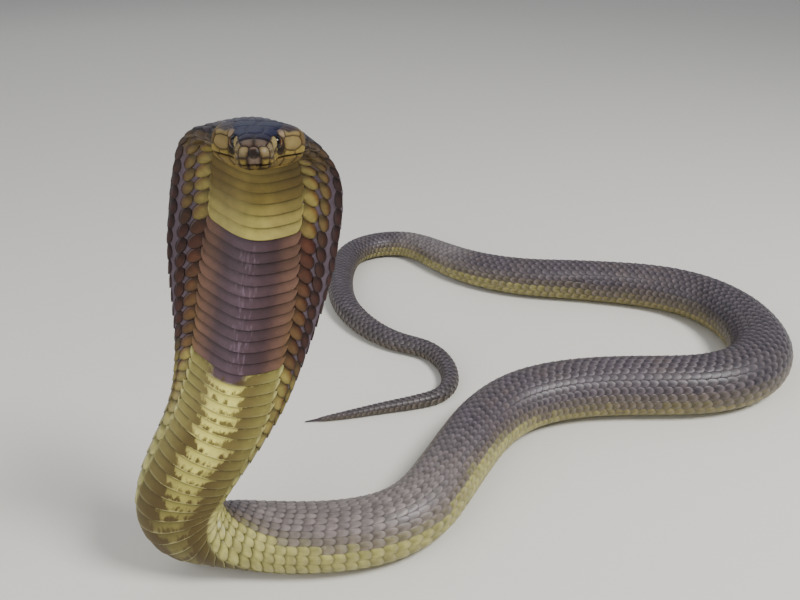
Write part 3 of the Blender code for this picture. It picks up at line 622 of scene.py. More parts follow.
@dataclass
class HeadRelief:
    """Sculpted form of the head: brows, cheeks, mouth line, sockets, nostrils and shields."""

    body: Body
    end: float = 6.0
    snout: float = -50.6
    mouth_corner: float = -13.0
    # Height of the mouth line at the snout and at its corner.
    mouth_height: tuple[float, float] = (-4.4, -3.6)
    mouth_depth: float = 0.9
    mouth_width: float = 0.32
    lip_swell: float = 0.22
    eye_along: float = -31.5
    eye_height: float = 2.6
    eye_radius: float = 3.0
    eye_shows: float = 1.1
    nostril_along: float = -46.5
    nostril_height: float = 1.2
    nostril_radius: float = 0.75
    shield_rise: float = 0.34
    suture_width: float = 0.42
    socket_depth: float = 1.5
    nostril_depth: float = 1.1
    # Share of the distance into the head that counts towards the distance from an eye.
    eye_inward: float = 0.3
    # Where the snout's front ends and how finely it is searched.
    front_end: float = -38.0
    front_step: float = 0.05
    # Small scales: spacing, first and last row, and the bounds of their four areas.
    gular_spacing: float = 3.4
    small_front: float = -44.0
    small_beyond: float = 4.0
    throat_top: float = -7.6
    throat_front: float = -30.0
    under_lip_top: float = -7.9
    under_lip_front: float = -45.0
    under_lip_inner: float = 5.4
    nape_front: float = -9.0
    crown_bottom: float = 7.0
    jaw_top: float = 1.0
    # How much farther than a shield a small scale has to be to share a border with it.
    small_lag: float = 1.35
    edge_step: float = 0.5
    lattice: float = 0.8
    arc_samples: int = 241
    ring_samples: int = 721
    small_throat: str = "#B59A45"
    small_side: str = "#7D6A40"
    small_crown: str = "#2B2630"
    # Dark crown tone whose blue tint is a painted reflection of the sky.
    crown_blue: str = "#131430"
    seam: str = "#1C120F"
    # Tint of the painted shade along the shields' edges.
    seam_side: str = "#8A6A5A"
    # Painted shade in the hollow round each eye.
    socket: str = "#1C130F"
    # Dark nose spot, and painted shade in the mouth line, the nostrils and round the eyes.
    hollow: str = "#120D0C"
    # Broad forms: name, place (along, across, up), its reach each way, and height.
    forms: tuple = (
        ("brow", (-32.5, 9.8, 6.6), (5.5, 2.6, 1.5), 0.60),
        ("brow_end", (-26.5, 11, 6.6), (2.5, 2.6, 1.6), 0.25),
        ("loreal_hollow", (-39, 10.2, 2), (3.6, 3, 1.6), -0.50),
        ("canthus", (-42, 7.2, 5), (4.5, 2.2, 1.3), 0.30),
        ("cheek", (-17, 19.5, -1), (7, 4, 4), 0.45),
        ("temple_hollow", (-20, 14, 7.4), (6, 3, 2), -0.35),
        ("crown_furrow", (-17, 0, 10.8), (7, 1.4, 3), -0.15),
        ("chin_groove", (-38, 0, -8.2), (10, 0.9, 2.4), -0.40),
        ("jaw_corner_fold", (-10, 19.5, -4), (2.2, 3, 2), -0.45),
    )

    def side_width(self, along: float, height: float) -> float:
        """Half width of the head at a height above the spine."""
        angles = np.linspace(0.0, math.pi, self.arc_samples)
        across, up = self.body.section(np.array([along]), angles)
        return float(np.interp(-height, -up[0], across[0]))

    def cast(self, view: View, first: float, second: float) -> tuple[float, float, float]:
        """Surface point that an outline's point falls on.

        Args:
            view: Side from which the point is given.
            first: Distance behind the nape, or side offset from the front.
            second: Side offset, or height for the flank and the front.

        Returns:
            Distance behind the nape, and offsets to the left and to the back.
        """
        if view is View.FLANK:
            return first, self.side_width(first, second), second
        if view is View.FRONT:
            stations = np.arange(self.snout, self.front_end, self.front_step)
            wide, high, deep, _, _, square = (rows[:, 0] for rows in self.body.sizes(stations))
            tall = high if second >= 0.0 else deep
            within = (abs(first) / wide) ** square + (abs(second) / tall) ** square <= 1.0
            return float(stations[int(np.argmax(within))]), first, second
        angles = np.linspace(0.0, math.pi, self.arc_samples)
        across, up = self.body.section(np.array([first]), angles)
        keep = up[0] >= 0.0 if view is View.CROWN else up[0] <= 0.0
        run = np.argsort(across[0][keep])
        height = np.interp(abs(second), across[0][keep][run], up[0][keep][run])
        return first, second, float(height)

    def seeds(self) -> tuple[list[np.ndarray], list[Tone]]:
        """Sample every shield's area.

        Returns:
            The shields' sample points as (along, across, up), and their tones.
        """
        clouds, tones = [], []
        for _, view, tone, twin, outline in SHIELDS:
            inside = [self.cast(view, *spot) for spot in self.fill(np.array(outline))]
            for sign in ((1.0, -1.0) if twin else (1.0,)):
                clouds.append(np.array(inside) * (1.0, sign, 1.0))
                tones.append(tone)
        return clouds, tones

    def fill(self, outline: np.ndarray) -> list[tuple[float, float]]:
        """Points on a small lattice inside an outline and along its edge."""
        found = []
        after = np.roll(outline, -1, axis=0)
        for here, there in zip(outline, after):
            pieces = max(2, int(np.linalg.norm(there - here) / self.edge_step))
            found += [tuple(here + (there - here) * k / pieces) for k in range(pieces)]
        low, high = outline.min(axis=0), outline.max(axis=0)
        for x in np.arange(low[0], high[0], self.lattice):
            for y in np.arange(low[1], high[1], self.lattice):
                crossings = (outline[:, 1] > y) != (after[:, 1] > y)
                span = np.where(crossings, after[:, 1] - outline[:, 1], 1.0)
                cut = outline[:, 0] + (y - outline[:, 1]) * (after[:, 0] - outline[:, 0]) / span
                if (crossings & (x < cut)).sum() % 2:
                    found.append((x, y))
        return found

    def small_seeds(self) -> list[tuple[float, float, float]]:
        """Seeds of the small scales on the throat and behind the shields, in staggered rows."""
        found = []
        angles = np.linspace(math.pi, -math.pi, self.ring_samples)
        stations = np.arange(self.small_front, self.end + self.small_beyond,
                             self.gular_spacing * 0.5)
        for row, along in enumerate(stations):
            across, up = self.body.section(np.array([along]), angles)
            steps = np.hypot(np.diff(across[0]), np.diff(up[0]))
            run = np.concatenate([[0.0], np.cumsum(steps)])
            count = int(run[-1] / self.gular_spacing / 2.0) * 2
            start = 0.5 if row % 2 else 0.0
            for k in range(count):
                at = (k + start) * run[-1] / count
                a, u = (float(np.interp(at, run, values[0])) for values in (across, up))
                on_throat = u < self.throat_top and along > self.throat_front + abs(a) * 0.2
                below_lip = (u < self.under_lip_top and along > self.under_lip_front
                             and abs(a) > self.under_lip_inner)
                behind = along > self.nape_front + (2.0 if u > self.crown_bottom else 0.0)
                jaw_end = along > self.mouth_corner and u < self.jaw_top
                if on_throat or below_lip or behind or jaw_end:
                    found.append((along, a, u))
        return found

    def nearest(self, place: np.ndarray, clouds: list[np.ndarray],
                shields: int) -> tuple[np.ndarray, np.ndarray]:
        """Find the shield or small scale that each point belongs to.

        Args:
            place: Points as (along, across, up).
            clouds: Sample points of every shield and then of every small scale.
            shields: How many of the clouds are shields.

        Returns:
            The number of each point's cloud, and its distance from the border with the next.
        """
        nearest = np.full(len(place), 1e9)
        second = nearest.copy()
        owner = np.zeros(len(place), int)
        flat = place.astype(np.float32)
        for k, cloud in enumerate(clouds):
            gap = np.full(len(place), 1e9, np.float32)
            for point in cloud.astype(np.float32):
                np.minimum(gap, ((flat - point) ** 2).sum(axis=1), out=gap)
            gap = np.sqrt(gap) + (self.small_lag if k >= shields else 0.0)
            closer = gap < nearest
            second = np.where(closer, nearest, np.minimum(second, gap))
            nearest = np.where(closer, gap, nearest)
            owner = np.where(closer, k, owner)
        return owner, (second - nearest) * 0.5

    def away(self, place: np.ndarray, along: float, height: float, depth: float) -> np.ndarray:
        """Distance of points from a place on either side of the head, depth counted in part."""
        inward = np.abs(place[:, 1]) - self.side_width(along, height)
        return np.sqrt((place[:, 0] - along) ** 2 + (place[:, 2] - height) ** 2
                       + depth * inward ** 2)

    def raise_skin(self, patch: Patch) -> tuple[np.ndarray, np.ndarray]:
        """Height to add to each point of a head patch, and its colour.

        Args:
            patch: Fine grid over the head.

        Returns:
            Heights in millimetres, and linear colours with their gloss, both by row and column.
        """
        shape = patch.across.shape
        along = np.repeat(patch.along[:, None], shape[1], axis=1)
        place = np.stack([along, patch.across, patch.up], axis=-1).reshape(-1, 3)
        clouds, tones = self.seeds()
        small = np.array(self.small_seeds())
        owner, border = self.nearest(place, [*clouds, *small[:, None]], len(clouds))
        marks = self.landmarks(place, border)
        tones = np.concatenate([[hex_rgb(tone.value) for tone in tones], self.small_tones(small)])
        colour = self.coloured(marks, tones[owner])
        return self.sculpted(marks).reshape(shape), colour.reshape(*shape, 4)

    def landmarks(self, place: np.ndarray, border: np.ndarray) -> Landmarks:
        """Measure points against the mouth line, the eyes' rims and the nostrils.

        Args:
            place: Points as (along, across, up).
            border: Distance of each from the nearest seam between shields.

        Returns:
            The points with their measures.
        """
        s, flank, up = place[:, 0], np.abs(place[:, 1]), place[:, 2]
        drop = up - np.interp(s, (self.snout, self.mouth_corner), self.mouth_height)
        inner = 0.5 * self.body.sizes(s[:1])[0][0, 0]
        in_mouth = fade(s, self.mouth_corner - 3.0, self.mouth_corner) * (flank > inner)
        ring = self.away(place, self.eye_along, self.eye_height, self.eye_inward)
        hole = self.away(place, self.nostril_along, self.nostril_height, 1.0)
        return Landmarks(place, border, drop, in_mouth, ring - self.eye_radius, hole)

    def sculpted(self, marks: Landmarks) -> np.ndarray:
        """Heights of the broad forms, the shields, the mouth, the sockets and the nostrils."""
        spot = np.stack(marks.spot(), axis=1)
        rise = np.zeros(len(spot))
        for _, middle, reach, amount in self.forms:
            rise += amount * np.exp(-(((spot - middle) / reach) ** 2).sum(axis=1))
        dome = 0.5 - np.exp(-(marks.border / self.suture_width) ** 1.5)
        rise += self.shield_rise * dome * fade(spot[:, 0], 0.0, 5.0)
        rise -= self.mouth_depth * np.exp(-(marks.drop / self.mouth_width) ** 2) * marks.in_mouth
        lip = np.exp(-((np.abs(marks.drop) - 1.1) / 0.8) ** 2)
        rise += self.lip_swell * lip * marks.in_mouth
        rise -= self.socket_depth * fade(marks.ring, -0.7, 0.1)
        rise += 0.28 * np.exp(-((marks.ring - 0.55) / 0.4) ** 2)
        rise -= self.nostril_depth * fade(marks.hole, 0.3, self.nostril_radius)
        rise += 0.16 * np.exp(-((marks.hole - self.nostril_radius - 0.35) / 0.35) ** 2)
        return rise

    def small_tones(self, small: np.ndarray) -> np.ndarray:
        """Colours of the small scales, by their height on the head and a random shade."""
        rng = np.random.default_rng(11)
        low = mix(self.small_side, self.small_throat, (small[:, 2] < -3.0) * 1.0)
        low = mix(low, self.small_crown, ease(small[:, 2], 6.5, 9.0))
        return low * (0.85 + 0.3 * rng.random(len(small)))[:, None]

    def coloured(self, marks: Landmarks, colour: np.ndarray) -> np.ndarray:
        """Colour the crown, with a painted reflection of blue sky, the seams and the nose spot over
        the shields' tones, and paint shade along the shields' edges, in the sockets and in the
        hollows.

        Args:
            marks: Points on the head with their measures.
            colour: Tone of the shield or small scale that each point is on.

        Returns:
            Linear colours with their gloss.
        """
        s, flank, up = marks.spot()
        crown = ease(up, 5.5, 8.0) * ease(s, -44.5, -38.0)
        snout = fade(s, -42.0, -36.0)
        faint = 1.0 - 0.7 * crown
        seam = np.exp(-(marks.border / (0.28 + 0.08 * snout)) ** 2) * 0.95 * faint
        # Painted shade along the shields' edges, which makes them look rounded.
        shade = np.exp(-marks.border ** 2) * (0.30 + 0.15 * snout) * faint
        # Painted shade in the hollow round each eye, by distance from the eye.
        behind = s - self.eye_along
        inward = flank - self.side_width(self.eye_along, self.eye_height)
        socket = (((behind - 0.9) / 4.6) ** 2 + ((up - 1.7 + 0.25 * behind) / 4.6) ** 2
                  + (inward / 6.0) ** 2)
        # Dark nose spot, and painted shade in the mouth line, the nostrils and round the eyes.
        nose = (flank / 2.9) ** 2 + ((up - 0.9) / 2.7) ** 2 + ((s + 50.0) / 2.0) ** 2
        dark = np.clip(fade(nose, 0.5, 1.3) + np.exp(-(marks.drop / 0.35) ** 2) * marks.in_mouth
                       + fade(marks.hole, 0.5, 1.0) + fade(marks.ring, 0.1, 0.6), 0.0, 1.0)
        # Dark crown, tinted with a painted reflection of blue sky.
        colour = mix(colour, self.crown_blue, 0.75 * crown)
        colour = layered(
            colour, (colour * hex_rgb(self.seam_side), shade), (self.seam, seam),
            (self.socket, 0.92 * fade(socket, 0.7, 1.15)), (self.hollow, 0.9 * dark))
        shiny = np.maximum(ease(up, 4.5, 7.0), ease(up, -3.0, 0.0) * snout)
        polish = 0.8 * shiny * fade(s, 0.0, 5.0)
        return np.concatenate([colour, polish[:, None]], axis=1)


@dataclass
class Spots:
    """Points of a piece of coat, each with its own scale's measures."""

    # Distance behind the nape and girth place of the scale.
    along: np.ndarray
    girth: np.ndarray
    # A random number from 0 to 1, and how many rows lie between the scale and the scutes.
    tint: np.ndarray
    rank: np.ndarray
    # Size of the scale in millimetres, and its turn in radians.
    length: np.ndarray
    width: np.ndarray
    turn: np.ndarray
    # Place along the scale, from -1 at its root to 1 at its free edge, and across it, -1 to 1.
    u: np.ndarray
    w: np.ndarray


@dataclass
class Markings:
    """Colours of the snake's body by place, shared by the skin and the scales."""

    back: str = "#4B4349"
    back_brown: str = "#5A4A3C"
    flank: str = "#A8A15C"
    rim: str = "#8A7F80"
    # Throat tones, olive and darkened as painted shade under the chin.
    throat: str = "#6E5E2C"
    throat_side: str = "#4A3A1C"
    belly: str = "#A6995C"
    belly_pale: str = "#E2DA6E"
    belly_side: str = "#928B49"
    band: str = "#3E2B2D"
    band_pale: str = "#54444C"
    hood_edge: str = "#221A20"
    hood_scale: str = "#3C2018"
    hood_second: str = "#705D31"
    hood_first: str = "#4E2A1A"
    hood_first_low: str = "#5E4626"
    hood_olive: str = "#85773B"
    hood_foot: str = "#7F7238"
    hood_skin: str = "#5C5057"
    bare: str = "#443C41"
    bare_low: str = "#6B6038"
    bare_front: str = "#5A4C2E"
    flank_dull: str = "#7B6F42"
    flank_edge: str = "#6A5E42"
    tail_side: str = "#5F5536"
    nape: str = "#1D1C30"
    throat_end: str = "#93864A"
    # Dark olive at the foot of the raised neck, darkened in part as painted shade.
    foot: str = "#4C4024"
    belly_rear: str = "#70673F"
    belly_tail: str = "#4E4742"
    band_side: str = "#6E5140"
    band_tip: str = "#6E5430"
    scute_rim: str = "#C9C48C"
    band_start: float = 61.0
    band_end: float = 135.0
    # Washes along the back: tone, share, and where each one rises and falls. The first is a painted
    # pool of light on the front of the body, the second painted shade on a loop, the third a
    # painted sheen on the tail's top, and the last darkens the tail.
    back_washes: tuple = (("#8D827B", 0.6, (270, 300), (380, 480)),
                          ("#2C2930", 0.55, (630, 730), (840, 930)),
                          ("#8D8480", 0.5, (1080, 1120), (1175, 1210)),
                          ("#38363F", 0.35, (1180, 1230), (1700, 1750)))
    # How many rows up from the belly are yellow, at each distance behind the nape.
    yellow_rows: tuple = ((215, 1.6), (262, 3.6), (300, 3.8), (335, 2.2), (400, 1.9), (435, 2.9),
                          (475, 2), (540, 1), (950, 0.9), (1060, 1.6), (1200, 1.4),
                          (1290, 0), (1400, -1))

    def in_band(self, along: np.ndarray, wobble: np.ndarray) -> np.ndarray:
        """How much a place belongs to the dark band across the hood."""
        start = ease(along + wobble * 6.0, self.band_start - 2.0, self.band_start + 6.0)
        return start * fade(along + wobble * 2.0, self.band_end - 1.0, self.band_end + 1.0)

    def skin(self, along: np.ndarray, girth: np.ndarray) -> np.ndarray:
        """Colour of the bare skin.

        Args:
            along: Distances behind the nape.
            girth: Girth places.

        Returns:
            Linear colours, one for each place.
        """
        share = 1.0 - np.abs(np.mod(girth, 2.0) - 1.0)
        reach = read_table(SCUTE_REACH, along)
        low = fade(share, reach, reach + 0.14) * fade(along, 1100.0, 1250.0)
        front = window(along, (5, 20), (165, 200)) * fade(share, 0.62, 0.72)
        band = self.in_band(along, np.sin(girth * 31.0) * 0.5) * (share < reach + 0.05)
        return layered(mix(self.bare, self.bare_low, low), (self.hood_skin, front),
                       (self.bare_front, front * fade(along, 18, 34)), (self.band, band))

    def dorsal(self, spots: Spots) -> np.ndarray:
        """Colour of whole scales of the back and flanks.

        Args:
            spots: Points of a piece.

        Returns:
            Linear colours, one for each point.
        """
        along, girth, rank, tint = spots.along, spots.girth, spots.rank, spots.tint
        patchy = 0.5 + 0.5 * np.sin(along / 43.0 + 2.0 * np.sin(along / 17.0) + girth * 5.0)
        # Painted light, shade and sheen along the back, and a darker tail.
        washes = [(tone, share * window(along, rise, fall))
                  for tone, share, rise, fall in self.back_washes]
        limit = read_table(self.yellow_rows, along)
        low = fade(rank + (tint - 0.5) * 0.7, limit - 0.7, limit + 0.5)
        dull = 0.85 * ease(along, 480, 640) * (1.0 - 0.5 * ease(along, 960, 1040))
        near = fade(rank, limit + 0.3, limit + 2.2) * (1.0 - low)
        tail = ease(along, 1120, 1200) * fade(rank + tint, 1.0, 3.6)
        front = window(along, (-12, -4), (170, 205)) * fade(rank, 4.3, 5.2)
        nape = ease(rank, 4.6, 6.4) * fade(along, 10, 36)
        colour = mix(self.back, self.back_brown, 0.3 * patchy * ease(tint, 0.1, 0.9))
        colour = layered(
            colour, *washes, (mix(self.flank, self.flank_dull, dull), low),
            (self.flank_edge, 0.5 * near), (self.tail_side, 0.2 * tail),
            (self.hood_front(spots), front), (self.nape, 0.85 * nape))
        return colour * (0.82 + 0.36 * tint[:, None])

    def hood_front(self, spots: Spots) -> np.ndarray:
        """Colour of whole scales beside the scutes on the front of the hood.

        Args:
            spots: Points of a piece.

        Returns:
            Linear colours, one for each point.
        """
        along, rank, tint = spots.along, spots.rank, spots.tint
        second = fade(np.abs(rank - 1.0), 0.2, 0.7) * fade(along, 52, 68)
        olive = 1.0 - self.in_band(along, tint - 0.5)
        low = 0.8 * ease(along, 75, 115) * (1.0 - olive)
        first = layered(mix(self.hood_first, self.hood_olive, olive), (self.hood_first_low, low))
        below = ease(along, 132, 150) * fade(rank + (tint - 0.5), 1.2, 3.2)
        return layered(
            mix(self.hood_scale, self.hood_edge, ease(rank, 1.3, 3.2)),
            (self.hood_second, 0.9 * second), (first, fade(rank, 0.2, 0.8)),
            # Painted shade under the jaw on the low rows next to the head.
            (self.throat_side, fade(along, 12, 26) * fade(rank, 1.6, 2.6)),
            (self.hood_foot, 0.85 * below))

    def ventral(self, spots: Spots) -> np.ndarray:
        """Colour over the belly scutes, point by point, below their brown streaks.

        Args:
            spots: Points of a piece.

        Returns:
            Linear colours, one for each point.
        """
        along, w, u, tint = spots.along, spots.w, spots.u, spots.tint
        side = np.abs(w)
        # Throat tones near the head, darkened as painted shade under the chin.
        golden = mix(self.throat, self.throat_side, ease(side, 0.2, 0.8) * (0.35 + 0.4 * tint))
        rear = ease(side, 0.4, 0.9) * ease(along, 300, 520)
        band = ease(self.in_band(along, 0.0 * along), 0.45, 0.55)
        beyond = along - self.band_end
        last = (beyond > 0.0) * (beyond < 6.5) * fade(np.abs(w + 0.1), 0.3, 0.5)
        tip = ease(side, 0.8, 1.0) * ease(along, 85, 125)
        purple = layered(
            mix(self.band, self.band_pale, 0.75 * np.exp(-((w + 0.1) / 0.45) ** 2)),
            (self.band_side, ease(side, 0.45, 0.9) * 0.75), (self.band_tip, 0.5 * tip))
        purple = purple * (0.85 + 0.3 * tint[:, None])
        rim = np.maximum(ease(u, 0.78, 0.98), ease(side, 0.90, 1.0)) * (1.0 - band)
        base = layered(
            mix(self.belly, self.belly_pale, np.exp(-(w / 0.42) ** 2) * 0.9),
            (self.belly_side, ease(side, 0.4, 0.7) * 0.95),
            (self.throat_end, fade(along, 60, 75) * 0.8), (golden, fade(along, 36, 60)),
            # Dark olive and painted shade at the foot of the raised neck.
            (self.foot, 0.86 * window(along, (170, 246), (285, 320))),
            (self.belly_rear, 0.7 * rear), (self.belly_tail, 0.9 * ease(along, 950, 1150)),
            (purple, np.maximum(band, last)),
            (self.scute_rim, 0.45 * rim * ease(along, 60, 140)))
        # Darker towards each scute's root: painted shade under the free edge of the scute in front.
        return base * (0.68 + 0.32 * ease(u, -0.5, 0.1))[:, None]

    def streaks(self, spots: Spots) -> np.ndarray:
        """How readily brown streaks show on each point of the scutes.

        Args:
            spots: Points of a piece.

        Returns:
            Values from -1, where none show.
        """
        along, w, u = spots.along, spots.w, spots.u
        side = np.abs(w + (spots.tint - 0.5) * 0.25)
        lean = 0.38 * ease(u, -0.7, 0.8) + 0.44 * ease(side, 0.24, 0.56) - 0.24
        lean -= 0.12 * ease(side, 0.7, 0.98)
        lean -= 0.4 * np.maximum(ease(u, 0.88, 1.0), ease(np.abs(w), 0.9, 1.0))
        area = window(along, (self.band_end - 2.0, self.band_end + 6.0), (262.0, 300.0))
        return lean * area - (1.0 - area)


def add_node(tree: NodeTree, kind: str, settings: dict, links: dict) -> Node:
    """Add one node with its settings and its links.

    Args:
        tree: Tree that gets the node.
        kind: Type of the node.
        settings: Properties by name, and socket values by "in:" and the socket's name or number.
        links: By the name or number of an input, the socket that feeds it, or a node whose
            first output does.

    Returns:
        The new node.
    """
    node = tree.nodes.new(kind)
    for name, value in settings.items():
        if name.startswith("in:"):
            key = name[3:]
            node.inputs[int(key) if key.isdigit() else key].default_value = value
        else:
            setattr(node, name, value)
    for name, source in links.items():
        socket = source.outputs[0] if isinstance(source, Node) else source
        tree.links.new(socket, node.inputs[int(name) if name.isdigit() else name])
    return node


@dataclass(frozen=True)
class Wiring:
    """Shorthand for the kinds of node that the trees use most."""

    tree: NodeTree

    def sum(self, operation: str, *values: float | NodeSocket) -> Node:
        """Math node on numbers, sockets and nodes."""
        fixed = {f"in:{i}": value for i, value in enumerate(values) if isinstance(value, float)}
        wired = {str(i): value for i, value in enumerate(values) if not isinstance(value, float)}
        return add_node(self.tree, "ShaderNodeMath", {"operation": operation, **fixed}, wired)

    def ramp(self, source: Node, *limits: float) -> Node:
        """Map Range node from the first two limits to the next two."""
        settings = {f"in:{i}": limit for i, limit in enumerate(limits, start=1)}
        return add_node(self.tree, "ShaderNodeMapRange", settings, {"0": source})

    def noise(self, place: NodeSocket, scale: float, detail: float, roughness: float = 0.5) -> Node:
        """Noise Texture node over a place."""
        return add_node(self.tree, "ShaderNodeTexNoise", {
            "in:Scale": scale, "in:Detail": detail, "in:Roughness": roughness}, {"Vector": place})

    def stored(self, name: str) -> list[NodeSocket]:
        """Outputs of an attribute that the mesh carries."""
        return add_node(self.tree, "ShaderNodeAttribute", {"attribute_name": name}, {}).outputs

    def tinted(self, share: Node, base: NodeSocket, code: str) -> NodeSocket:
        """Colour mixed with an sRGB hex tone by a share."""
        return add_node(self.tree, "ShaderNodeMix", {
            "data_type": "RGBA", "in:7": (*hex_rgb(code), 1.0)}, {"0": share, "6": base}).outputs[2]


def new_material(name: str) -> Material:
    """Make a material with an empty node tree."""
    made = bpy.data.materials.new(name)
    made.use_nodes = True
    made.node_tree.nodes.clear()
    return made


@dataclass(frozen=True)
class KeratinFinish:
    """Thin keratin over pigment, as on a snake's scales: clear, smooth and faintly oily.

    The marking attribute gives the colour, and its alpha the share of full gloss. Grain is the
    size and bump the height of the fine relief in millimetres.
    """

    name: str
    roughness: float
    gloss: float
    coat: float
    specular: float
    grain: float
    bump: float
    mottle: float
    streaks: str = ""
    mottle_size: float = 4.0
    # Tint of the pale painted glints along the creases.
    crease: str = "#8C7383"

    def material(self) -> Material:
        """Build the material."""
        made = new_material(self.name)
        tree = made.node_tree
        wiring = Wiring(tree)
        place = add_node(tree, "ShaderNodeTexCoord", {}, {}).outputs["Object"]
        marking = wiring.stored("marking")
        cloud = wiring.noise(place, 1.0 / (self.mottle_size * MM), 4.0)
        fine = wiring.noise(place, 1.0 / (self.grain * MM), 2.0)
        shade = wiring.ramp(cloud, 0.25, 0.75, 1.0 - self.mottle, 1.0 + self.mottle)
        colour = add_node(tree, "ShaderNodeVectorMath", {"operation": "SCALE"},
                          {"0": marking["Color"], "Scale": shade}).outputs[0]
        height = fine.outputs[0]
        if self.streaks:
            colour, height = self.streaked(wiring, colour, height)
        polish = wiring.sum("MULTIPLY", marking["Alpha"], -self.gloss)
        rough = wiring.ramp(fine, 0.0, 1.0, self.roughness - 0.05, self.roughness + 0.07)
        smooth = wiring.sum("ADD", rough, polish)
        bump = add_node(tree, "ShaderNodeBump",
                        {"in:Strength": 0.5, "in:Distance": self.bump * MM}, {"Height": height})
        shader = add_node(tree, "ShaderNodeBsdfPrincipled",
                          {"in:IOR": 1.45, "in:Specular IOR Level": self.specular,
                           "in:Coat Weight": self.coat, "in:Coat Roughness": 0.2},
                          {"Base Color": colour, "Roughness": smooth, "Normal": bump})
        add_node(tree, "ShaderNodeOutputMaterial", {}, {"Surface": shader})
        return made

    def streaked(self, wiring: Wiring, colour: NodeSocket,
                 height: NodeSocket) -> tuple[NodeSocket, Node]:
        """Add brown streaks, fine lengthwise creases and pale painted glints along the creases over
        the scutes.

        Args:
            wiring: Shorthand on the material's tree.
            colour: Colour below the streaks.
            height: Height of the fine grain.

        Returns:
            The streaked colour and the creased height.
        """
        spot = wiring.stored("scute_place")["Vector"]
        stretched = [add_node(wiring.tree, "ShaderNodeMapping", {"in:Scale": scale},
                              {"Vector": spot}) for scale in ((0.34, 0.15, 1.0), (0.6, 0.13, 1.0))]
        ragged = wiring.noise(stretched[0], 1.0, 4.0, 0.62)
        total = wiring.sum("ADD", ragged, wiring.stored("streaks")["Fac"])
        edge = wiring.ramp(total, 0.55, 0.70)
        cover = wiring.sum("MULTIPLY", edge, wiring.stored("streak_depth")["Fac"])
        colour = wiring.tinted(cover, colour, self.streaks)
        lines = wiring.noise(stretched[1], 1.0, 2.0)
        creased = wiring.sum("MULTIPLY", lines, wiring.stored("creases")["Fac"])
        # Pale painted glints along the creases; the creases also shape the relief.
        pale = wiring.ramp(creased, 0.50, 0.66, 0.0, 0.35)
        deep = wiring.sum("MULTIPLY_ADD", creased, 4.0, height)
        return wiring.tinted(pale, colour, self.crease), deep


@dataclass(frozen=True)
class PlainFinish:
    """One even colour, as on a painted board or a wet eye."""

    name: str
    colour: str
    roughness: float
    specular: float
    from_marking: bool = False

    def material(self) -> Material:
        """Build the material."""
        made = new_material(self.name)
        tree = made.node_tree
        links = {"Base Color": Wiring(tree).stored("marking")[0]} if self.from_marking else {}
        shader = add_node(tree, "ShaderNodeBsdfPrincipled", {
            "in:Base Color": (*hex_rgb(self.colour), 1.0), "in:Roughness": self.roughness,
            "in:Specular IOR Level": self.specular}, links)
        add_node(tree, "ShaderNodeOutputMaterial", {}, {"Surface": shader})
        return made


# Skin between the scales: dull, finely wrinkled; the head's shields are its glossy places.
BARE_SKIN = KeratinFinish("snake_skin", roughness=0.55, gloss=0.27, coat=0.0, specular=0.14,
                          grain=0.7, bump=0.12, mottle=0.16)
# Smooth keratin of the back: each scale has a soft, oily gloss.
BACK_KERATIN = KeratinFinish("dorsal_keratin", roughness=0.42, gloss=0.15, coat=0.05,
                             specular=0.4, grain=0.5, bump=0.05, mottle=0.28)
# Thicker, paler keratin of the belly plates, with brown pigment streaked through it.
BELLY_KERATIN = KeratinFinish("ventral_keratin", roughness=0.50, gloss=0.1, coat=0.0,
                              specular=0.3, grain=0.8, bump=0.07, mottle=0.14,
                              streaks="#4C3D1F")
# The spectacle over the eye: clear, hard and wet-looking.
EYE_GLOSS = PlainFinish("eye_spectacle", "#0C0807", roughness=0.06, specular=0.25,
                        from_marking=True)
# Matt painted board of a photographer's floor.
FLOOR_PAINT = PlainFinish("studio_floor", "#DDD9D0", roughness=0.75, specular=0.3)


def add_object(name: str, data: ID) -> Object:
    """Make an object of some data and link it to the scene."""
    made = bpy.data.objects.new(name, data)
    bpy.context.scene.collection.objects.link(made)
    return made


def store(mesh: Mesh, name: str, values: np.ndarray) -> None:
    """Store a number or a vector for each point of a mesh."""
    kind, key = ("FLOAT", "value") if values.ndim == 1 else ("FLOAT_VECTOR", "vector")
    layer = mesh.attributes.new(name, kind, "POINT")
    layer.data.foreach_set(key, values.astype(np.float32).ravel())


def paint(mesh: Mesh, colours: np.ndarray) -> None:
    """Store marking colours on a mesh's points, with their gloss as a fourth column if any."""
    layer = mesh.color_attributes.new("marking", "FLOAT_COLOR", "POINT")
    gloss = np.zeros((len(colours), 4 - colours.shape[1]))
    rows = np.concatenate([colours, gloss], axis=1)
    layer.data.foreach_set("color", rows.astype(np.float32).ravel())


def mesh_object(name: str, points: np.ndarray, faces: list, colours: np.ndarray,
                material: Material) -> Object:
    """Make a smooth mesh object at the origin.

    Args:
        name: Name of the piece.
        points: Places in millimetres.
        faces: Rows of point numbers.
        colours: Linear marking colour of each point.
        material: Finish of the piece.

    Returns:
        The linked object.
    """
    mesh = bpy.data.meshes.new(name)
    mesh.from_pydata((points * MM).tolist(), [], faces)
    paint(mesh, colours)
    mesh.materials.append(material)
    mesh.shade_smooth()
    return add_object(name, mesh)


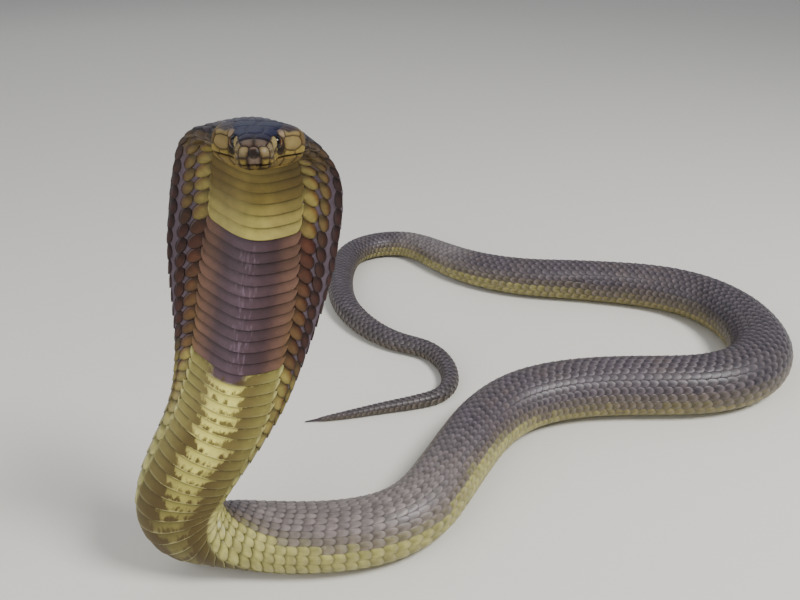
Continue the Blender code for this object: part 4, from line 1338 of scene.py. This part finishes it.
@dataclass
class Skin:
    """The one skin from snout to tail tip, fine on the head and plainer under the scales."""

    surface: Surface
    relief: HeadRelief
    markings: Markings
    # Nodes of the solids that the skin replaces.
    flesh: list[str]
    head_columns: int = 288
    body_columns: int = 96
    head_spacing: float = 0.36
    body_spacing: float = 3.6
    coat_depth: float = 0.22
    floor_gap: float = 0.3

    def head_stations(self) -> np.ndarray:
        """Distances of the head's rings, evenly spaced along its outline."""
        fine = np.linspace(self.relief.snout, self.relief.end, 4000)
        wide, high = (np.diff(rows[:, 0]) for rows in self.surface.body.sizes(fine)[:2])
        steps = np.sqrt(np.diff(fine) ** 2 + wide ** 2 + high ** 2 * 0.5)
        run = np.concatenate([[0.0], np.cumsum(steps)])
        count = int(run[-1] / self.head_spacing)
        return np.interp(np.linspace(0.0, run[-1], count), run, fine)

    def build(self) -> Object:
        """Build the skin and let it stand for every node of flesh."""
        head = self.surface.patch(self.head_stations(), self.head_columns)
        rise, head_colours = self.relief.raise_skin(head)
        head_points = head.points + head.normals * rise[..., None]
        end = self.relief.end
        stations = np.arange(end + 1.6, self.surface.body.s[-1] - 1.0, self.body_spacing)
        rest = self.surface.patch(stations, self.body_columns)
        girth = np.tile(rest.girth, len(stations))
        colours = self.markings.skin(np.repeat(stations, self.body_columns), girth)
        depth = self.coat_depth * ease(stations, end, end + 8.0)
        rest_points = rest.points - rest.normals * depth[:, None, None]
        rest_points[..., 2] = np.maximum(rest_points[..., 2], self.floor_gap)
        points = np.concatenate([head_points.reshape(-1, 3), rest_points.reshape(-1, 3)])
        points = self.surface.kept_inside(points)
        colours = np.concatenate([colours, np.zeros((len(colours), 1))], axis=1)
        tones = np.concatenate([head_colours.reshape(-1, 4), colours])
        faces = self.ring_faces(0, head_points.shape[0], self.head_columns)
        first = head_points.shape[0] * self.head_columns
        faces += self.ring_faces(first, len(stations), self.body_columns)
        faces += self.stitch(first - self.head_columns, first)
        faces.append(list(range(self.head_columns - 1, -1, -1)))
        last = len(points) - self.body_columns
        faces.append(list(range(last, len(points))))
        piece = mesh_object("skin", points, faces, tones, BARE_SKIN.material())
        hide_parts(*self.flesh)
        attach(piece, "root")
        return piece

    @staticmethod
    def ring_faces(first: int, rings: int, columns: int) -> list[list[int]]:
        """Quads between neighbouring rings of equal count."""
        faces = []
        for i in range(rings - 1):
            row = first + i * columns
            for j in range(columns):
                k = (j + 1) % columns
                faces.append([row + j, row + k, row + columns + k, row + columns + j])
        return faces

    def stitch(self, fine: int, coarse: int) -> list[list[int]]:
        """Faces between the last fine ring and the first coarse one."""
        ratio = self.head_columns // self.body_columns
        faces = []
        for j in range(self.body_columns):
            after = (j + 1) % self.body_columns
            edge = [fine + (j * ratio + k) % self.head_columns for k in range(ratio + 1)]
            faces.append(edge + [coarse + after, coarse + j])
        return faces


@dataclass
class ScaleTemplate:
    """One scale in unit size: its root sunk in the skin and its rear edge free."""

    name: str
    slot: str
    stations: tuple[float, ...]
    columns: int
    front_width: float
    fullness: float
    tail_power: float
    crown: float
    sink: float
    lift: float
    thickness: float
    round_ends: float = 0.0
    # Where the scale is widest, and the narrowest that its tip gets.
    widest: float = -0.06
    tip_width: float = 0.03
    # How far behind the root the arch is full, and its share on the underside.
    crown_reach: float = 0.4
    crown_under: float = 0.2
    # Where the root ends, and how much thicker the scale is there.
    root_end: float = -0.3
    root_thickness: float = 1.6

    def outline(self, x: float) -> float:
        """Half width at a place along the scale, from -0.5 to 0.5."""
        if self.round_ends:
            return 0.5
        t = (x - self.widest) / (0.5 + self.widest if x < self.widest else 0.5 - self.widest)
        if t < 0.0:
            return self.front_width + (0.5 - self.front_width) * (1.0 - abs(t) ** 2.0)
        return max(0.5 * (1.0 - t ** self.fullness) ** self.tail_power, self.tip_width)

    def column_place(self, j: int) -> float:
        """Place of a column across the scale, from -1 to 1, closer together at round ends."""
        share = j / (self.columns - 1) * 2.0 - 1.0
        if not self.round_ends:
            return share
        return 0.55 * share + 0.45 * math.sin(share * math.pi / 2.0)

    def squeeze(self, share: float) -> float:
        """How much of its length the scale keeps at a place across it."""
        beyond = max(abs(share) - (1.0 - self.round_ends), 0.0) / max(self.round_ends, 0.001)
        return math.sqrt(max(1.0 - beyond * beyond, 0.0)) * 0.5 + 0.5

    def rim(self) -> list[int]:
        """Numbers of the upper side's edge points, once round."""
        rows, columns = len(self.stations), self.columns
        ends = [i * columns + columns - 1 for i in range(1, rows)]
        rear = [(rows - 1) * columns + j for j in range(columns - 2, -1, -1)]
        return [*range(columns), *ends, *rear, *(i * columns for i in range(rows - 2, 0, -1))]

    def faces(self, rim: list[int], low: int) -> list[tuple[int, ...]]:
        """Faces of the upper side, the rim and the underside.

        Args:
            rim: Numbers of the upper side's edge points, once round.
            low: Number of the first point under the rim.

        Returns:
            Rows of point numbers.
        """
        rows, columns = len(self.stations), self.columns
        faces = []
        for i in range(rows - 1):
            for j in range(columns - 1):
                a = i * columns + j
                faces.append((a, a + columns, a + columns + 1, a + 1))
        for k, point in enumerate(rim):
            n = (k + 1) % len(rim)
            faces.append((point, rim[n], low + n, low + k))
        under = {point: low + k for k, point in enumerate(rim)}
        rear = (rows - 1) * columns
        inner = range(1, rows - 1)
        for j in range(columns - 1):
            face = [under[rear + j], under[rear + j + 1]]
            if j == columns - 2:
                face += [under[i * columns + j + 1] for i in reversed(inner)]
            face += [under[j + 1], under[j]]
            if j == 0:
                face += [under[i * columns] for i in inner]
            faces.append(tuple(face))
        return faces

    def build(self) -> Object:
        """Build the template as a closed mesh with its own place attributes."""
        points, places = [], []
        for x in self.stations:
            half = self.outline(x)
            for j in range(self.columns):
                share = self.column_place(j)
                kept = self.squeeze(share) if self.round_ends else 1.0
                rise = (x + 0.5) * self.lift - self.sink
                arch = min((x + 0.5) / self.crown_reach, 1.0)
                rise += self.crown * (1.0 - share * share) * arch
                points.append(((x + 0.5) * kept - 0.5, half * share, rise))
                places.append((x * 2.0, share))
        rim, low = self.rim(), len(points)
        for k in rim:
            x, y, z = points[k]
            drop = self.thickness * (1.0 if x > self.root_end else self.root_thickness)
            points.append((x, y, z - drop - (self.crown * self.crown_under if y == 0.0 else 0.0)))
            places.append(places[k])
        mesh = bpy.data.meshes.new(self.name)
        mesh.from_pydata(points, [], self.faces(rim, low))
        for label, column in zip(("place_u", "place_w"), np.array(places).T):
            store(mesh, label, column)
        return add_object(self.name, mesh)


# Scale of the back: long, rounded behind, gently arched.
BACK_SCALE = ScaleTemplate(
    "back_scale_shape", "back_scales", (-0.5, -0.26, -0.04, 0.2, 0.36, 0.45, 0.5), columns=7,
    front_width=0.32, fullness=2.7, tail_power=0.52, crown=0.36, sink=0.35, lift=1.0,
    thickness=0.34)
# Scale of the spread hood: a full oval that stands alone on stretched skin.
HOOD_SCALE = ScaleTemplate(
    "hood_scale_shape", "hood_scales", (-0.5, -0.42, -0.26, -0.05, 0.18, 0.36, 0.46, 0.5),
    columns=7, front_width=0.24, fullness=2.6, tail_power=0.60, crown=0.50, sink=0.33, lift=0.80,
    thickness=0.34)
# Scute of the belly: a wide plate with rounded ends.
BELLY_SCUTE = ScaleTemplate(
    "belly_scute_shape", "belly_scutes", (-0.5, -0.2, 0.15, 0.36, 0.44, 0.5), columns=31,
    front_width=0.5, fullness=2.0, tail_power=1.0, crown=0.0, sink=0.22, lift=0.9, thickness=0.34,
    round_ends=0.13)


def scatter_tree() -> NodeTree:
    """Geometry Nodes tree that sets one scale on each anchor point of a flat sheet."""
    tree = bpy.data.node_groups.new("scatter_scales", "GeometryNodeTree")
    for name, kind in (("Anchors", "Geometry"), ("Scale shape", "Object"),
                       ("Size jitter", "Float"), ("Turn jitter", "Float"), ("Seed", "Int"),
                       ("Finish", "Material")):
        tree.interface.new_socket(name, in_out="INPUT", socket_type="NodeSocket" + kind)
    tree.interface.new_socket("Scales", in_out="OUTPUT", socket_type="NodeSocketGeometry")
    wiring = Wiring(tree)
    given = add_node(tree, "NodeGroupInput", {}, {}).outputs
    shape = add_node(tree, "GeometryNodeObjectInfo", {}, {"Object": given["Scale shape"]})
    size, lean = (add_node(tree, "GeometryNodeInputNamedAttribute",
                           {"data_type": kind, "in:Name": name}, {})
                  for name, kind in (("size", "FLOAT_VECTOR"), ("root_turn", "FLOAT")))
    limits = (wiring.sum("SUBTRACT", 1.0, given["Size jitter"]),
              wiring.sum("ADD", 1.0, given["Size jitter"]),
              wiring.sum("MULTIPLY", given["Turn jitter"], -1.0), given["Turn jitter"])
    jitter, turn = (add_node(tree, "FunctionNodeRandomValue", {"data_type": "FLOAT"},
                             {"2": least, "3": most, "Seed": given["Seed"]}).outputs[1]
                    for least, most in (limits[:2], limits[2:]))
    sized = add_node(tree, "ShaderNodeVectorMath", {"operation": "SCALE"},
                     {"0": size, "Scale": jitter})
    yaw = add_node(tree, "ShaderNodeCombineXYZ", {}, {"2": wiring.sum("ADD", turn, lean)})
    placed = add_node(tree, "GeometryNodeInstanceOnPoints", {},
                      {"Points": given["Anchors"], "Instance": shape.outputs["Geometry"],
                       "Rotation": yaw, "Scale": sized})
    real = add_node(tree, "GeometryNodeRealizeInstances", {}, {"Geometry": placed})
    done = add_node(tree, "GeometryNodeSetMaterial", {},
                    {"Geometry": real, "Material": given["Finish"]})
    add_node(tree, "NodeGroupOutput", {}, {"Scales": done})
    return tree


def read_attribute(mesh: Mesh, name: str) -> np.ndarray:
    """Values of a float attribute of a mesh's points."""
    values = np.zeros(len(mesh.vertices), np.float32)
    mesh.attributes[name].data.foreach_get("value", values)
    return values.astype(float)


@dataclass
class Coat:
    """Scales laid out on a flat sheet and wrapped onto the skin."""

    surface: Surface
    tree: NodeTree
    seed: int = 5
    # Half the size of a scale on the map, and the map's empty margin.
    patch: float = 0.0015
    margin: float = 0.01
    # Distance on the flat sheet between the belly and the back, in place of the half girth.
    sheet_girth: float = 100.0
    root_columns: tuple[str, ...] = ("along", "girth", "tint", "rank", "length", "width", "turn")

    def flat_sheet(self, name: str, anchors: dict, shape: Object,
                   material: Material, jitter: tuple[float, float]) -> Mesh:
        """Set scales on flat anchors with Geometry Nodes.

        Args:
            name: Name of the piece.
            anchors: Columns along, girth, length, width, height, tint, rank and turn of the scales.
            shape: Template object.
            material: Finish of the scales.
            jitter: Random share of size, and random turn in radians.

        Returns:
            The realized mesh, each point with its scale's place and its place on the scale.
        """
        mesh = bpy.data.meshes.new(name + "_anchors")
        girth = anchors["girth"] * self.sheet_girth
        mesh.from_pydata(np.stack([anchors["along"], girth, 0.0 * girth], axis=1).tolist(), [], [])
        sizes = [anchors[label] for label in ("length", "width", "height")]
        store(mesh, "size", np.stack(sizes, axis=1))
        for label in self.root_columns:
            store(mesh, "root_" + label, anchors[label])
        carrier = add_object(name, mesh)
        modifier = carrier.modifiers.new("scales", "NODES")
        modifier.node_group = self.tree
        wanted = {"Scale shape": shape, "Size jitter": jitter[0], "Turn jitter": jitter[1],
                  "Seed": self.seed, "Finish": material}
        for item in self.tree.interface.items_tree:
            if item.in_out == "INPUT" and item.name in wanted:
                modifier[item.identifier] = wanted[item.name]
        bpy.context.view_layer.update()
        result = bpy.data.meshes.new_from_object(
            carrier.evaluated_get(bpy.context.evaluated_depsgraph_get()))
        carrier.modifiers.remove(modifier)
        bpy.data.objects.remove(carrier)
        return result

    def wrap(self, name: str, mesh: Mesh, slot: str, ends: tuple[float, float],
             bow: tuple) -> tuple[Object, Spots]:
        """Wrap a flat sheet of scales onto the skin and give it its map.

        Args:
            name: Name of the piece.
            mesh: Realized sheet.
            slot: Not used.
            ends: Distances behind the nape where the piece begins and ends.
            bow: How far a plate's middle lies behind its ends, at each distance.

        Returns:
            The piece and its points.
        """
        flat = np.zeros(len(mesh.vertices) * 3, np.float32)
        mesh.vertices.foreach_get("co", flat)
        flat = flat.reshape(-1, 3).astype(float)
        stored = {label: "root_" + label for label in self.root_columns}
        stored |= {"u": "place_u", "w": "place_w"}
        spots = Spots(**{label: read_attribute(mesh, stored[label]) for label in stored})
        across = flat[:, 1] - spots.girth * self.sheet_girth
        places = spots.girth + across / self.surface.half_girth(spots.along)
        along = flat[:, 0] + read_table(bow, spots.along) * (1.0 - spots.w ** 2)
        points = self.surface.wrap(along, places, flat[:, 2])
        mesh.vertices.foreach_set("co", (points * MM).astype(np.float32).ravel())
        layer = mesh.uv_layers.new(name="OFBake")
        corner = np.zeros(len(mesh.loops), np.int32)
        mesh.loops.foreach_get("vertex_index", corner)
        room = 1.0 - 2.0 * self.margin
        share = (spots.along - ends[0]) / (ends[1] - ends[0]) * room + self.margin
        turn = np.mod(spots.girth, 2.0) / 2.0 * room + self.margin
        uv = np.stack([share + spots.u * self.patch, turn + spots.w * self.patch], axis=1)
        layer.data.foreach_set("uv", uv[corner].astype(np.float32).ravel())
        for label in (*stored.values(), "size"):
            if label in mesh.attributes:
                mesh.attributes.remove(mesh.attributes[label])
        mesh.shade_smooth()
        mesh.name = name
        piece = add_object(name, mesh)
        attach(piece, "root")
        return piece, spots


@dataclass
class Plating:
    """Plates of one kind over the skin, in pieces along the body."""

    coat: Coat
    markings: Markings
    finish: KeratinFinish = BACK_KERATIN
    # Random share of size, and random turn in radians.
    jitter: tuple[float, float] = (0.05, 0.06)
    # How far a plate's middle lies behind its ends, at each distance behind the nape.
    bow: tuple = ((0, 0),)
    # Name, start, end and shape of each piece.
    pieces: tuple = ()

    def layout(self) -> dict:
        """Place every plate."""
        raise NotImplementedError

    def dress(self, mesh: Mesh, spots: Spots) -> None:
        """Give one piece its markings."""
        raise NotImplementedError

    def build(self) -> list[Object]:
        """Build the pieces from front to rear."""
        shapes = {}
        for *_, shape in self.pieces:
            if shape.name not in shapes:
                shapes[shape.name] = shape.build()
        material = self.finish.material()
        anchors = self.layout()
        made = []
        for name, start, end, shape in self.pieces:
            keep = (anchors["along"] >= start) & (anchors["along"] < end)
            part = {key: values[keep] for key, values in anchors.items()}
            sheet = self.coat.flat_sheet(name, part, shapes[shape.name], material, self.jitter)
            piece, spots = self.coat.wrap(name, sheet, shape.slot, (start, end), self.bow)
            self.dress(piece.data, spots)
            made.append(piece)
        for shape in shapes.values():
            bpy.data.objects.remove(shape)
        return made


@dataclass
class DorsalScales(Plating):
    """Oblique rows of smooth scales over the back, the flanks and the hood's sides."""

    first: float = -4.0
    last: float = 1656.0
    step: float = 0.5
    rows_each_side: int = 10
    low_row_swell: float = 0.62
    front_swell: float = 0.95
    # How far each row's scales lie behind those of the next row up, as a share of their pitch.
    row_lag: tuple = ((170, 0.5), (300, 0.12), (400, 0.12), (640, 0.5))
    low_row_reach: float = 1.5
    hood_turn: float = 0.75
    hood_stretch: float = 0.3
    # Length as a share of the pitch, and width as a share of the row, with their overlap.
    length: float = 1.44
    width: float = 1.28
    # Rows that end along the body: their number from the middle of the back and the place.
    row_ends: tuple = ((3, 195), (5, 225), (7, 985), (6, 1150), (8, 1300), (4, 1380),
                       (9, 1470), (2, 1560))
    end_reach: float = 20.0
    hood_warmth: str = "#A06A50"
    pieces: tuple = (("hood_scales", -10, 170, HOOD_SCALE), ("neck_scales", 170, 330, BACK_SCALE),
                     ("back_scales_1", 330, 600, BACK_SCALE),
                     ("back_scales_2", 600, 860, BACK_SCALE),
                     ("back_scales_3", 860, 1130, BACK_SCALE),
                     ("tail_scales", 1130, 1700, BACK_SCALE))

    def presence(self, row: int, along: np.ndarray) -> np.ndarray:
        """Share of its full width that a row has at each place."""
        for number, place in self.row_ends:
            if number == abs(row):
                return fade(along, place - self.end_reach, place + self.end_reach)
        return np.ones_like(along)

    def rows(self, along: np.ndarray) -> list[tuple[int, np.ndarray, np.ndarray, np.ndarray]]:
        """Measure the rows from the snake's right side to its left.

        Args:
            along: Distances behind the nape.

        Returns:
            Number, share of presence, count of rows below and relative width of each row.
        """
        numbers = range(-self.rows_each_side, self.rows_each_side + 1)
        shares = {row: self.presence(row, along) for row in numbers}
        front = self.front_swell * window(along, (200.0, 290.0), (470.0, 560.0))
        even = 1.0 - 0.5 * window(along, (0.0, 40.0), (120.0, 200.0))
        made = []
        for row in numbers:
            sign = 1 if row > 0 else -1
            outer = [shares[sign * k] for k in range(abs(row) + 1, self.rows_each_side + 1)]
            rank = sum(outer, 0.0 * along)
            swell = (self.low_row_swell + front) * np.exp(-rank / self.low_row_reach)
            made.append((row, shares[row], rank, shares[row] * (1.0 + swell * even)))
        return made

    def layout(self) -> dict:
        """Place every scale.

        Returns:
            Columns along, girth, length, width, height, tint, rank and turn.
        """
        along = np.arange(self.first, self.last, self.step)
        none = 0.0 * along
        stretch = window(along, (8.0, 26.0), (130.0, 175.0))
        pitch = read_table(SCUTE_PITCH, along) * (1.0 + self.hood_stretch * stretch)
        index = np.cumsum(self.step / pitch)
        lag = read_table(self.row_lag, along)
        measured = self.rows(along)
        shares = {row: share for row, share, _, _ in measured}
        widths = {row: width for row, _, _, width in measured}
        total = sum(widths.values())
        covered = 2.0 - 2.0 * read_table(SCUTE_REACH, along)
        unit = covered * self.coat.surface.half_girth(along) / total
        rng = np.random.default_rng(3)
        made = []
        for row, share, below, width in measured:
            sign = 1 if row > 0 else -1
            inside = [sign * k for k in range(1, abs(row))]
            offset = phase = none
            if row:
                offset = 0.5 * widths[0] + sum((widths[k] for k in inside), none) + 0.5 * width
                phase = lag * (sum((shares[k] for k in inside), none) + share)
            stage = index + phase
            marks = np.arange(math.ceil(stage[0]), math.floor(stage[-1]))
            places = np.interp(marks, stage, along)
            places = places[np.interp(places, along, share) > 0.5]
            girth, gap, step, rank = (
                np.interp(places, along, values)
                for values in (1.0 - sign * covered * offset / total, unit * width, pitch, below))
            spread = window(places, (2.0, 25.0), (120.0, 205.0))
            low = np.exp(-(rank / 0.8) ** 2)
            jaw = window(places, (2.0, 8.0), (20.0, 36.0))
            made.append({
                "along": places, "girth": girth,
                "length": step * (self.length - (0.36 - 0.34 * low) * spread - 0.3 * low * jaw),
                "width": gap * (self.width - (0.56 - 0.24 * low) * spread),
                "height": np.clip(gap * 0.14, 0.25, 0.72),
                "tint": rng.random(len(places)), "rank": rank,
                "turn": sign * self.hood_turn * spread * np.exp(-(rank / 1.1) ** 2)})
        return gather(made)

    def dress(self, mesh: Mesh, spots: Spots) -> None:
        """Paint the scales point by point, with dark hearts, dark sides, painted shade at their
        roots and paler rims.

        Args:
            mesh: Mesh of one piece.
            spots: Its points.
        """
        along, u, w = spots.along, spots.u, spots.w
        side, rim = np.abs(w), self.markings.rim
        hood = window(along, (5.0, 20.0), (150.0, 200.0))
        lying = ease(along, 275.0, 400.0)
        base = self.markings.dorsal(spots)
        heart = np.exp(-((u + 0.05) / 0.42) ** 2 - (w / 0.5) ** 2)
        base = base * (1.0 - 0.5 * heart * lying)[:, None]
        edge = np.maximum(ease(side, 0.5, 0.85), ease(u, 0.4, 0.75))
        base = mix(base, rim, 0.22 * edge * lying)
        # Darker at the sides, as dark edges, and towards the root, as painted shade under the free
        # edge of the scale in front.
        shade = np.maximum(ease(side, 0.55, 1.0), fade(u, -0.7, 0.0))
        base = base * (1.0 - (0.58 - 0.2 * lying) * shade)[:, None]
        rear = ease(u, 0.2, 0.6) * fade(side, 0.4, 0.8)
        base = mix(base, rim, 0.16 * rear * (1.0 - hood))
        base = mix(base, base * 0.4, 0.7 * ease(u, 0.8, 0.98) * (1.0 - hood))
        outer = w * np.where(np.mod(spots.girth, 2.0) < 1.0, 1.0, -1.0)
        warm = base * hex_rgb(self.hood_warmth) * 1.2
        base = mix(base, warm, 0.8 * ease(outer, 0.0, 0.8) * hood)
        paint(mesh, mix(base, base * 0.35, 0.85 * ease(u, 0.6, 0.98) * hood))


@dataclass
class BellyScutes(Plating):
    """Wide plates across the throat and the belly, and paired ones under the tail."""

    finish: KeratinFinish = BELLY_KERATIN
    jitter: tuple[float, float] = (0.01, 0.008)
    first: float = -2.0
    vent: float = 1290.0
    last: float = 1655.0
    step: float = 0.5
    overlap: float = 1.32
    # Width of each of a pair under the tail, as a share of a whole scute.
    paired: float = 0.52
    # How far apart two scutes may read the streaks' noise, and the creases' reach across.
    streak_lag: float = 400.0
    crease_reach: float = 0.5
    bow: tuple = ((-5, 2), (30, 5), (60, 6.5), (150, 6.5), (240, 3.5), (330, 2),
                  (1300, 0), (1700, 0))
    pieces: tuple = (("throat_scutes", -10, 300, BELLY_SCUTE),
                     ("belly_scutes", 300, 1290, BELLY_SCUTE),
                     ("tail_scutes", 1290, 1700, BELLY_SCUTE))

    def layout(self) -> dict:
        """Place every scute.

        Returns:
            Columns along, girth, length, width, height, tint, rank and turn.
        """
        along = np.arange(self.first, self.last, self.step)
        index = np.cumsum(self.step / read_table(SCUTE_PITCH, along))
        marks = np.arange(math.ceil(index[0]), math.floor(index[-1]))
        places = np.interp(marks, index, along)
        reach = read_table(SCUTE_REACH, places)
        half = self.coat.surface.half_girth(places)
        step = read_table(SCUTE_PITCH, places)
        tint = np.random.default_rng(9).random(len(places))
        whole = places < self.vent
        parts = []
        for shift, chosen, share, lag in ((0.0, whole, 1.0, 0.0), (0.5, ~whole, self.paired, 0.0),
                                          (-0.5, ~whole, self.paired, 0.25)):
            columns = {"along": places + step * lag, "girth": reach * shift,
                       "length": step * self.overlap, "width": 2.0 * reach * half * 1.05 * share,
                       "height": np.clip(half * 0.012, 0.3, 0.75), "tint": tint,
                       "rank": 0.0 * tint, "turn": 0.0 * tint}
            parts.append({key: values[chosen] for key, values in columns.items()})
        return gather(parts)

    def dress(self, mesh: Mesh, spots: Spots) -> None:
        """Paint the scutes and store what their streaks and creases need.

        Args:
            mesh: Mesh of one piece.
            spots: Its points.
        """
        along, w, tint = spots.along, spots.w, spots.tint
        across, down = w * spots.width * 0.5, spots.u * spots.length * 0.5
        depth = 0.95 - 0.45 * ease(np.abs(w), 0.4, 0.85) - 0.1 * ease(tint, 0.3, 0.9)
        paint(mesh, self.markings.ventral(spots))
        store(mesh, "scute_place", np.stack([across, down, tint * self.streak_lag], axis=1))
        store(mesh, "streaks", self.markings.streaks(spots))
        store(mesh, "streak_depth", depth)
        store(mesh, "creases", self.markings.in_band(along, 0.0 * along)
              * np.exp(-(w / self.crease_reach) ** 2))


@dataclass
class Eyes:
    """Round dark eyes under their clear spectacles, without lids."""

    relief: HeadRelief
    pupil: str = "#050404"
    # Pupil, bright ring and iris, each with the angle from the eye's axis where it ends.
    bands: tuple = (("#050404", 22.0), ("#8A5A22", 28.0), ("#3A2413", 50.001))
    segments: int = 48

    def build(self) -> list[Object]:
        """Build both eyes in their sockets."""
        body = self.relief.body
        along = np.array([self.relief.eye_along])
        centre, back, side, _ = (rows[0] for rows in body.frames(along))
        reach = self.relief.side_width(self.relief.eye_along, self.relief.eye_height)
        inset = reach - self.relief.eye_radius + self.relief.eye_shows
        material = EYE_GLOSS.material()
        made = []
        for sign, name in ((1.0, "eye_left"), (-1.0, "eye_right")):
            middle = centre + side * sign * inset + back * self.relief.eye_height
            made.append(self.ball(name + "_gloss", middle, side * sign, material))
            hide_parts(name)
            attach(made[-1], "root")
        return made

    def ball(self, name: str, middle: np.ndarray, axis: np.ndarray, material: Material) -> Object:
        """One eyeball, painted round its axis.

        Args:
            name: Name of the piece.
            middle: Centre in millimetres.
            axis: Way that the eye looks.
            material: Finish of the eye.

        Returns:
            The eyeball.
        """
        first = np.cross(axis, (0.0, 0.0, 1.0))
        first /= np.linalg.norm(first)
        turn = np.linspace(0.0, 2.0 * math.pi, self.segments, endpoint=False)
        around = np.outer(np.cos(turn), first) + np.outer(np.sin(turn), np.cross(axis, first))
        points, colours = [middle + axis * self.relief.eye_radius], [hex_rgb(self.pupil)]
        rings = self.segments // 2
        for i in range(1, rings):
            angle = math.pi * i / rings
            points.extend(middle + (around * math.sin(angle) + axis * math.cos(angle))
                          * self.relief.eye_radius)
            degrees = math.degrees(angle)
            tone = next((tone for tone, end in self.bands if degrees < end), self.pupil)
            colours.extend([hex_rgb(tone)] * self.segments)
        points.append(middle - axis * self.relief.eye_radius)
        colours.append(hex_rgb(self.pupil))
        faces = []
        for j in range(self.segments):
            k = (j + 1) % self.segments
            last = 1 + (rings - 2) * self.segments
            faces += [[0, 1 + j, 1 + k], [len(points) - 1, last + k, last + j]]
            for row in range(1, last, self.segments):
                below = row + self.segments
                faces.append([row + j, below + j, below + k, row + k])
        return mesh_object(name, np.array(points), faces, np.array(colours), material)


@dataclass
class Studio:
    """Pale floor, soft light and the camera at the photograph's angle."""

    camera_place: tuple[float, float, float] = (-0.0880, -0.5602, 0.36)
    camera_pitch: float = 62.6
    lens: float = 36.0
    floor_half: float = 3.0
    floor_drop: float = 0.05
    lit_place: tuple[float, float, float] = (0.0, -0.1, 0.1)
    sky: str = "#E6ECF6"
    sky_strength: float = 0.42
    # Name, place in metres, size across in metres and power in watts.
    lights: tuple = (("key", (0.75, -0.55, 1.25), 0.55, 26),
                     ("fill", (-1, -0.9, 0.7), 1.2, 10),
                     ("rim", (-0.8, 1.3, 1.6), 2.4, 6))

    def build(self) -> None:
        """Build floor, lights, sky and camera."""
        corners = np.array([(-1.0, -1.0, 0.0), (1.0, -1.0, 0.0), (1.0, 1.0, 0.0),
                            (-1.0, 1.0, 0.0)]) * self.floor_half / MM
        floor = mesh_object("floor", corners - (0.0, 0.0, self.floor_drop), [[0, 1, 2, 3]],
                            np.ones((4, 3)), FLOOR_PAINT.material())
        floor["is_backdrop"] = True
        for name, place, size, power in self.lights:
            data = bpy.data.lights.new(name, "AREA")
            data.shape = "DISK"
            data.size = size
            data.energy = power
            lamp = add_object(name, data)
            lamp.location = place
            aim = Vector(self.lit_place) - Vector(place)
            lamp.rotation_euler = aim.to_track_quat("-Z", "Y").to_euler()
        world = bpy.data.worlds.new("studio")
        world.use_nodes = True
        sky = world.node_tree.nodes["Background"]
        sky.inputs["Color"].default_value = (*hex_rgb(self.sky), 1.0)
        sky.inputs["Strength"].default_value = self.sky_strength
        bpy.context.scene.world = world
        data = bpy.data.cameras.new("camera")
        data.lens = self.lens
        data.sensor_width = 36.0
        data.clip_start = 0.01
        camera = add_object("camera", data)
        camera.location = self.camera_place
        camera.rotation_euler = (math.radians(self.camera_pitch), 0.0, 0.0)
        bpy.context.scene.camera = camera


def plain_lists(bounds: tuple) -> list[list[float]]:
    """Turn a box's corners into plain lists of numbers."""
    return [[float(value) for value in corner] for corner in bounds]


def main() -> None:
    """Build the cobra piece by piece and set up the studio."""
    logging.basicConfig(level=logging.INFO, format="%(message)s")
    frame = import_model()
    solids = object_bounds()
    flesh = sorted(name for name in frame["nodes"] if not name.startswith("eye"))
    body = Body()
    surface = Surface(body, np.array(plain_lists(solids)) / MM)
    relief = HeadRelief(body)
    markings = Markings()
    pieces = [Skin(surface, relief, markings, flesh).build()]
    coat = Coat(surface, scatter_tree())
    pieces += DorsalScales(coat, markings).build()
    pieces += BellyScutes(coat, markings).build()
    pieces += Eyes(relief).build()
    Studio().build()
    for piece in pieces:
        count = sum(len(face.vertices) - 2 for face in piece.data.polygons)
        LOG.info("%s: %d triangles", piece.name, count)


if __name__ == "__main__":
    main()
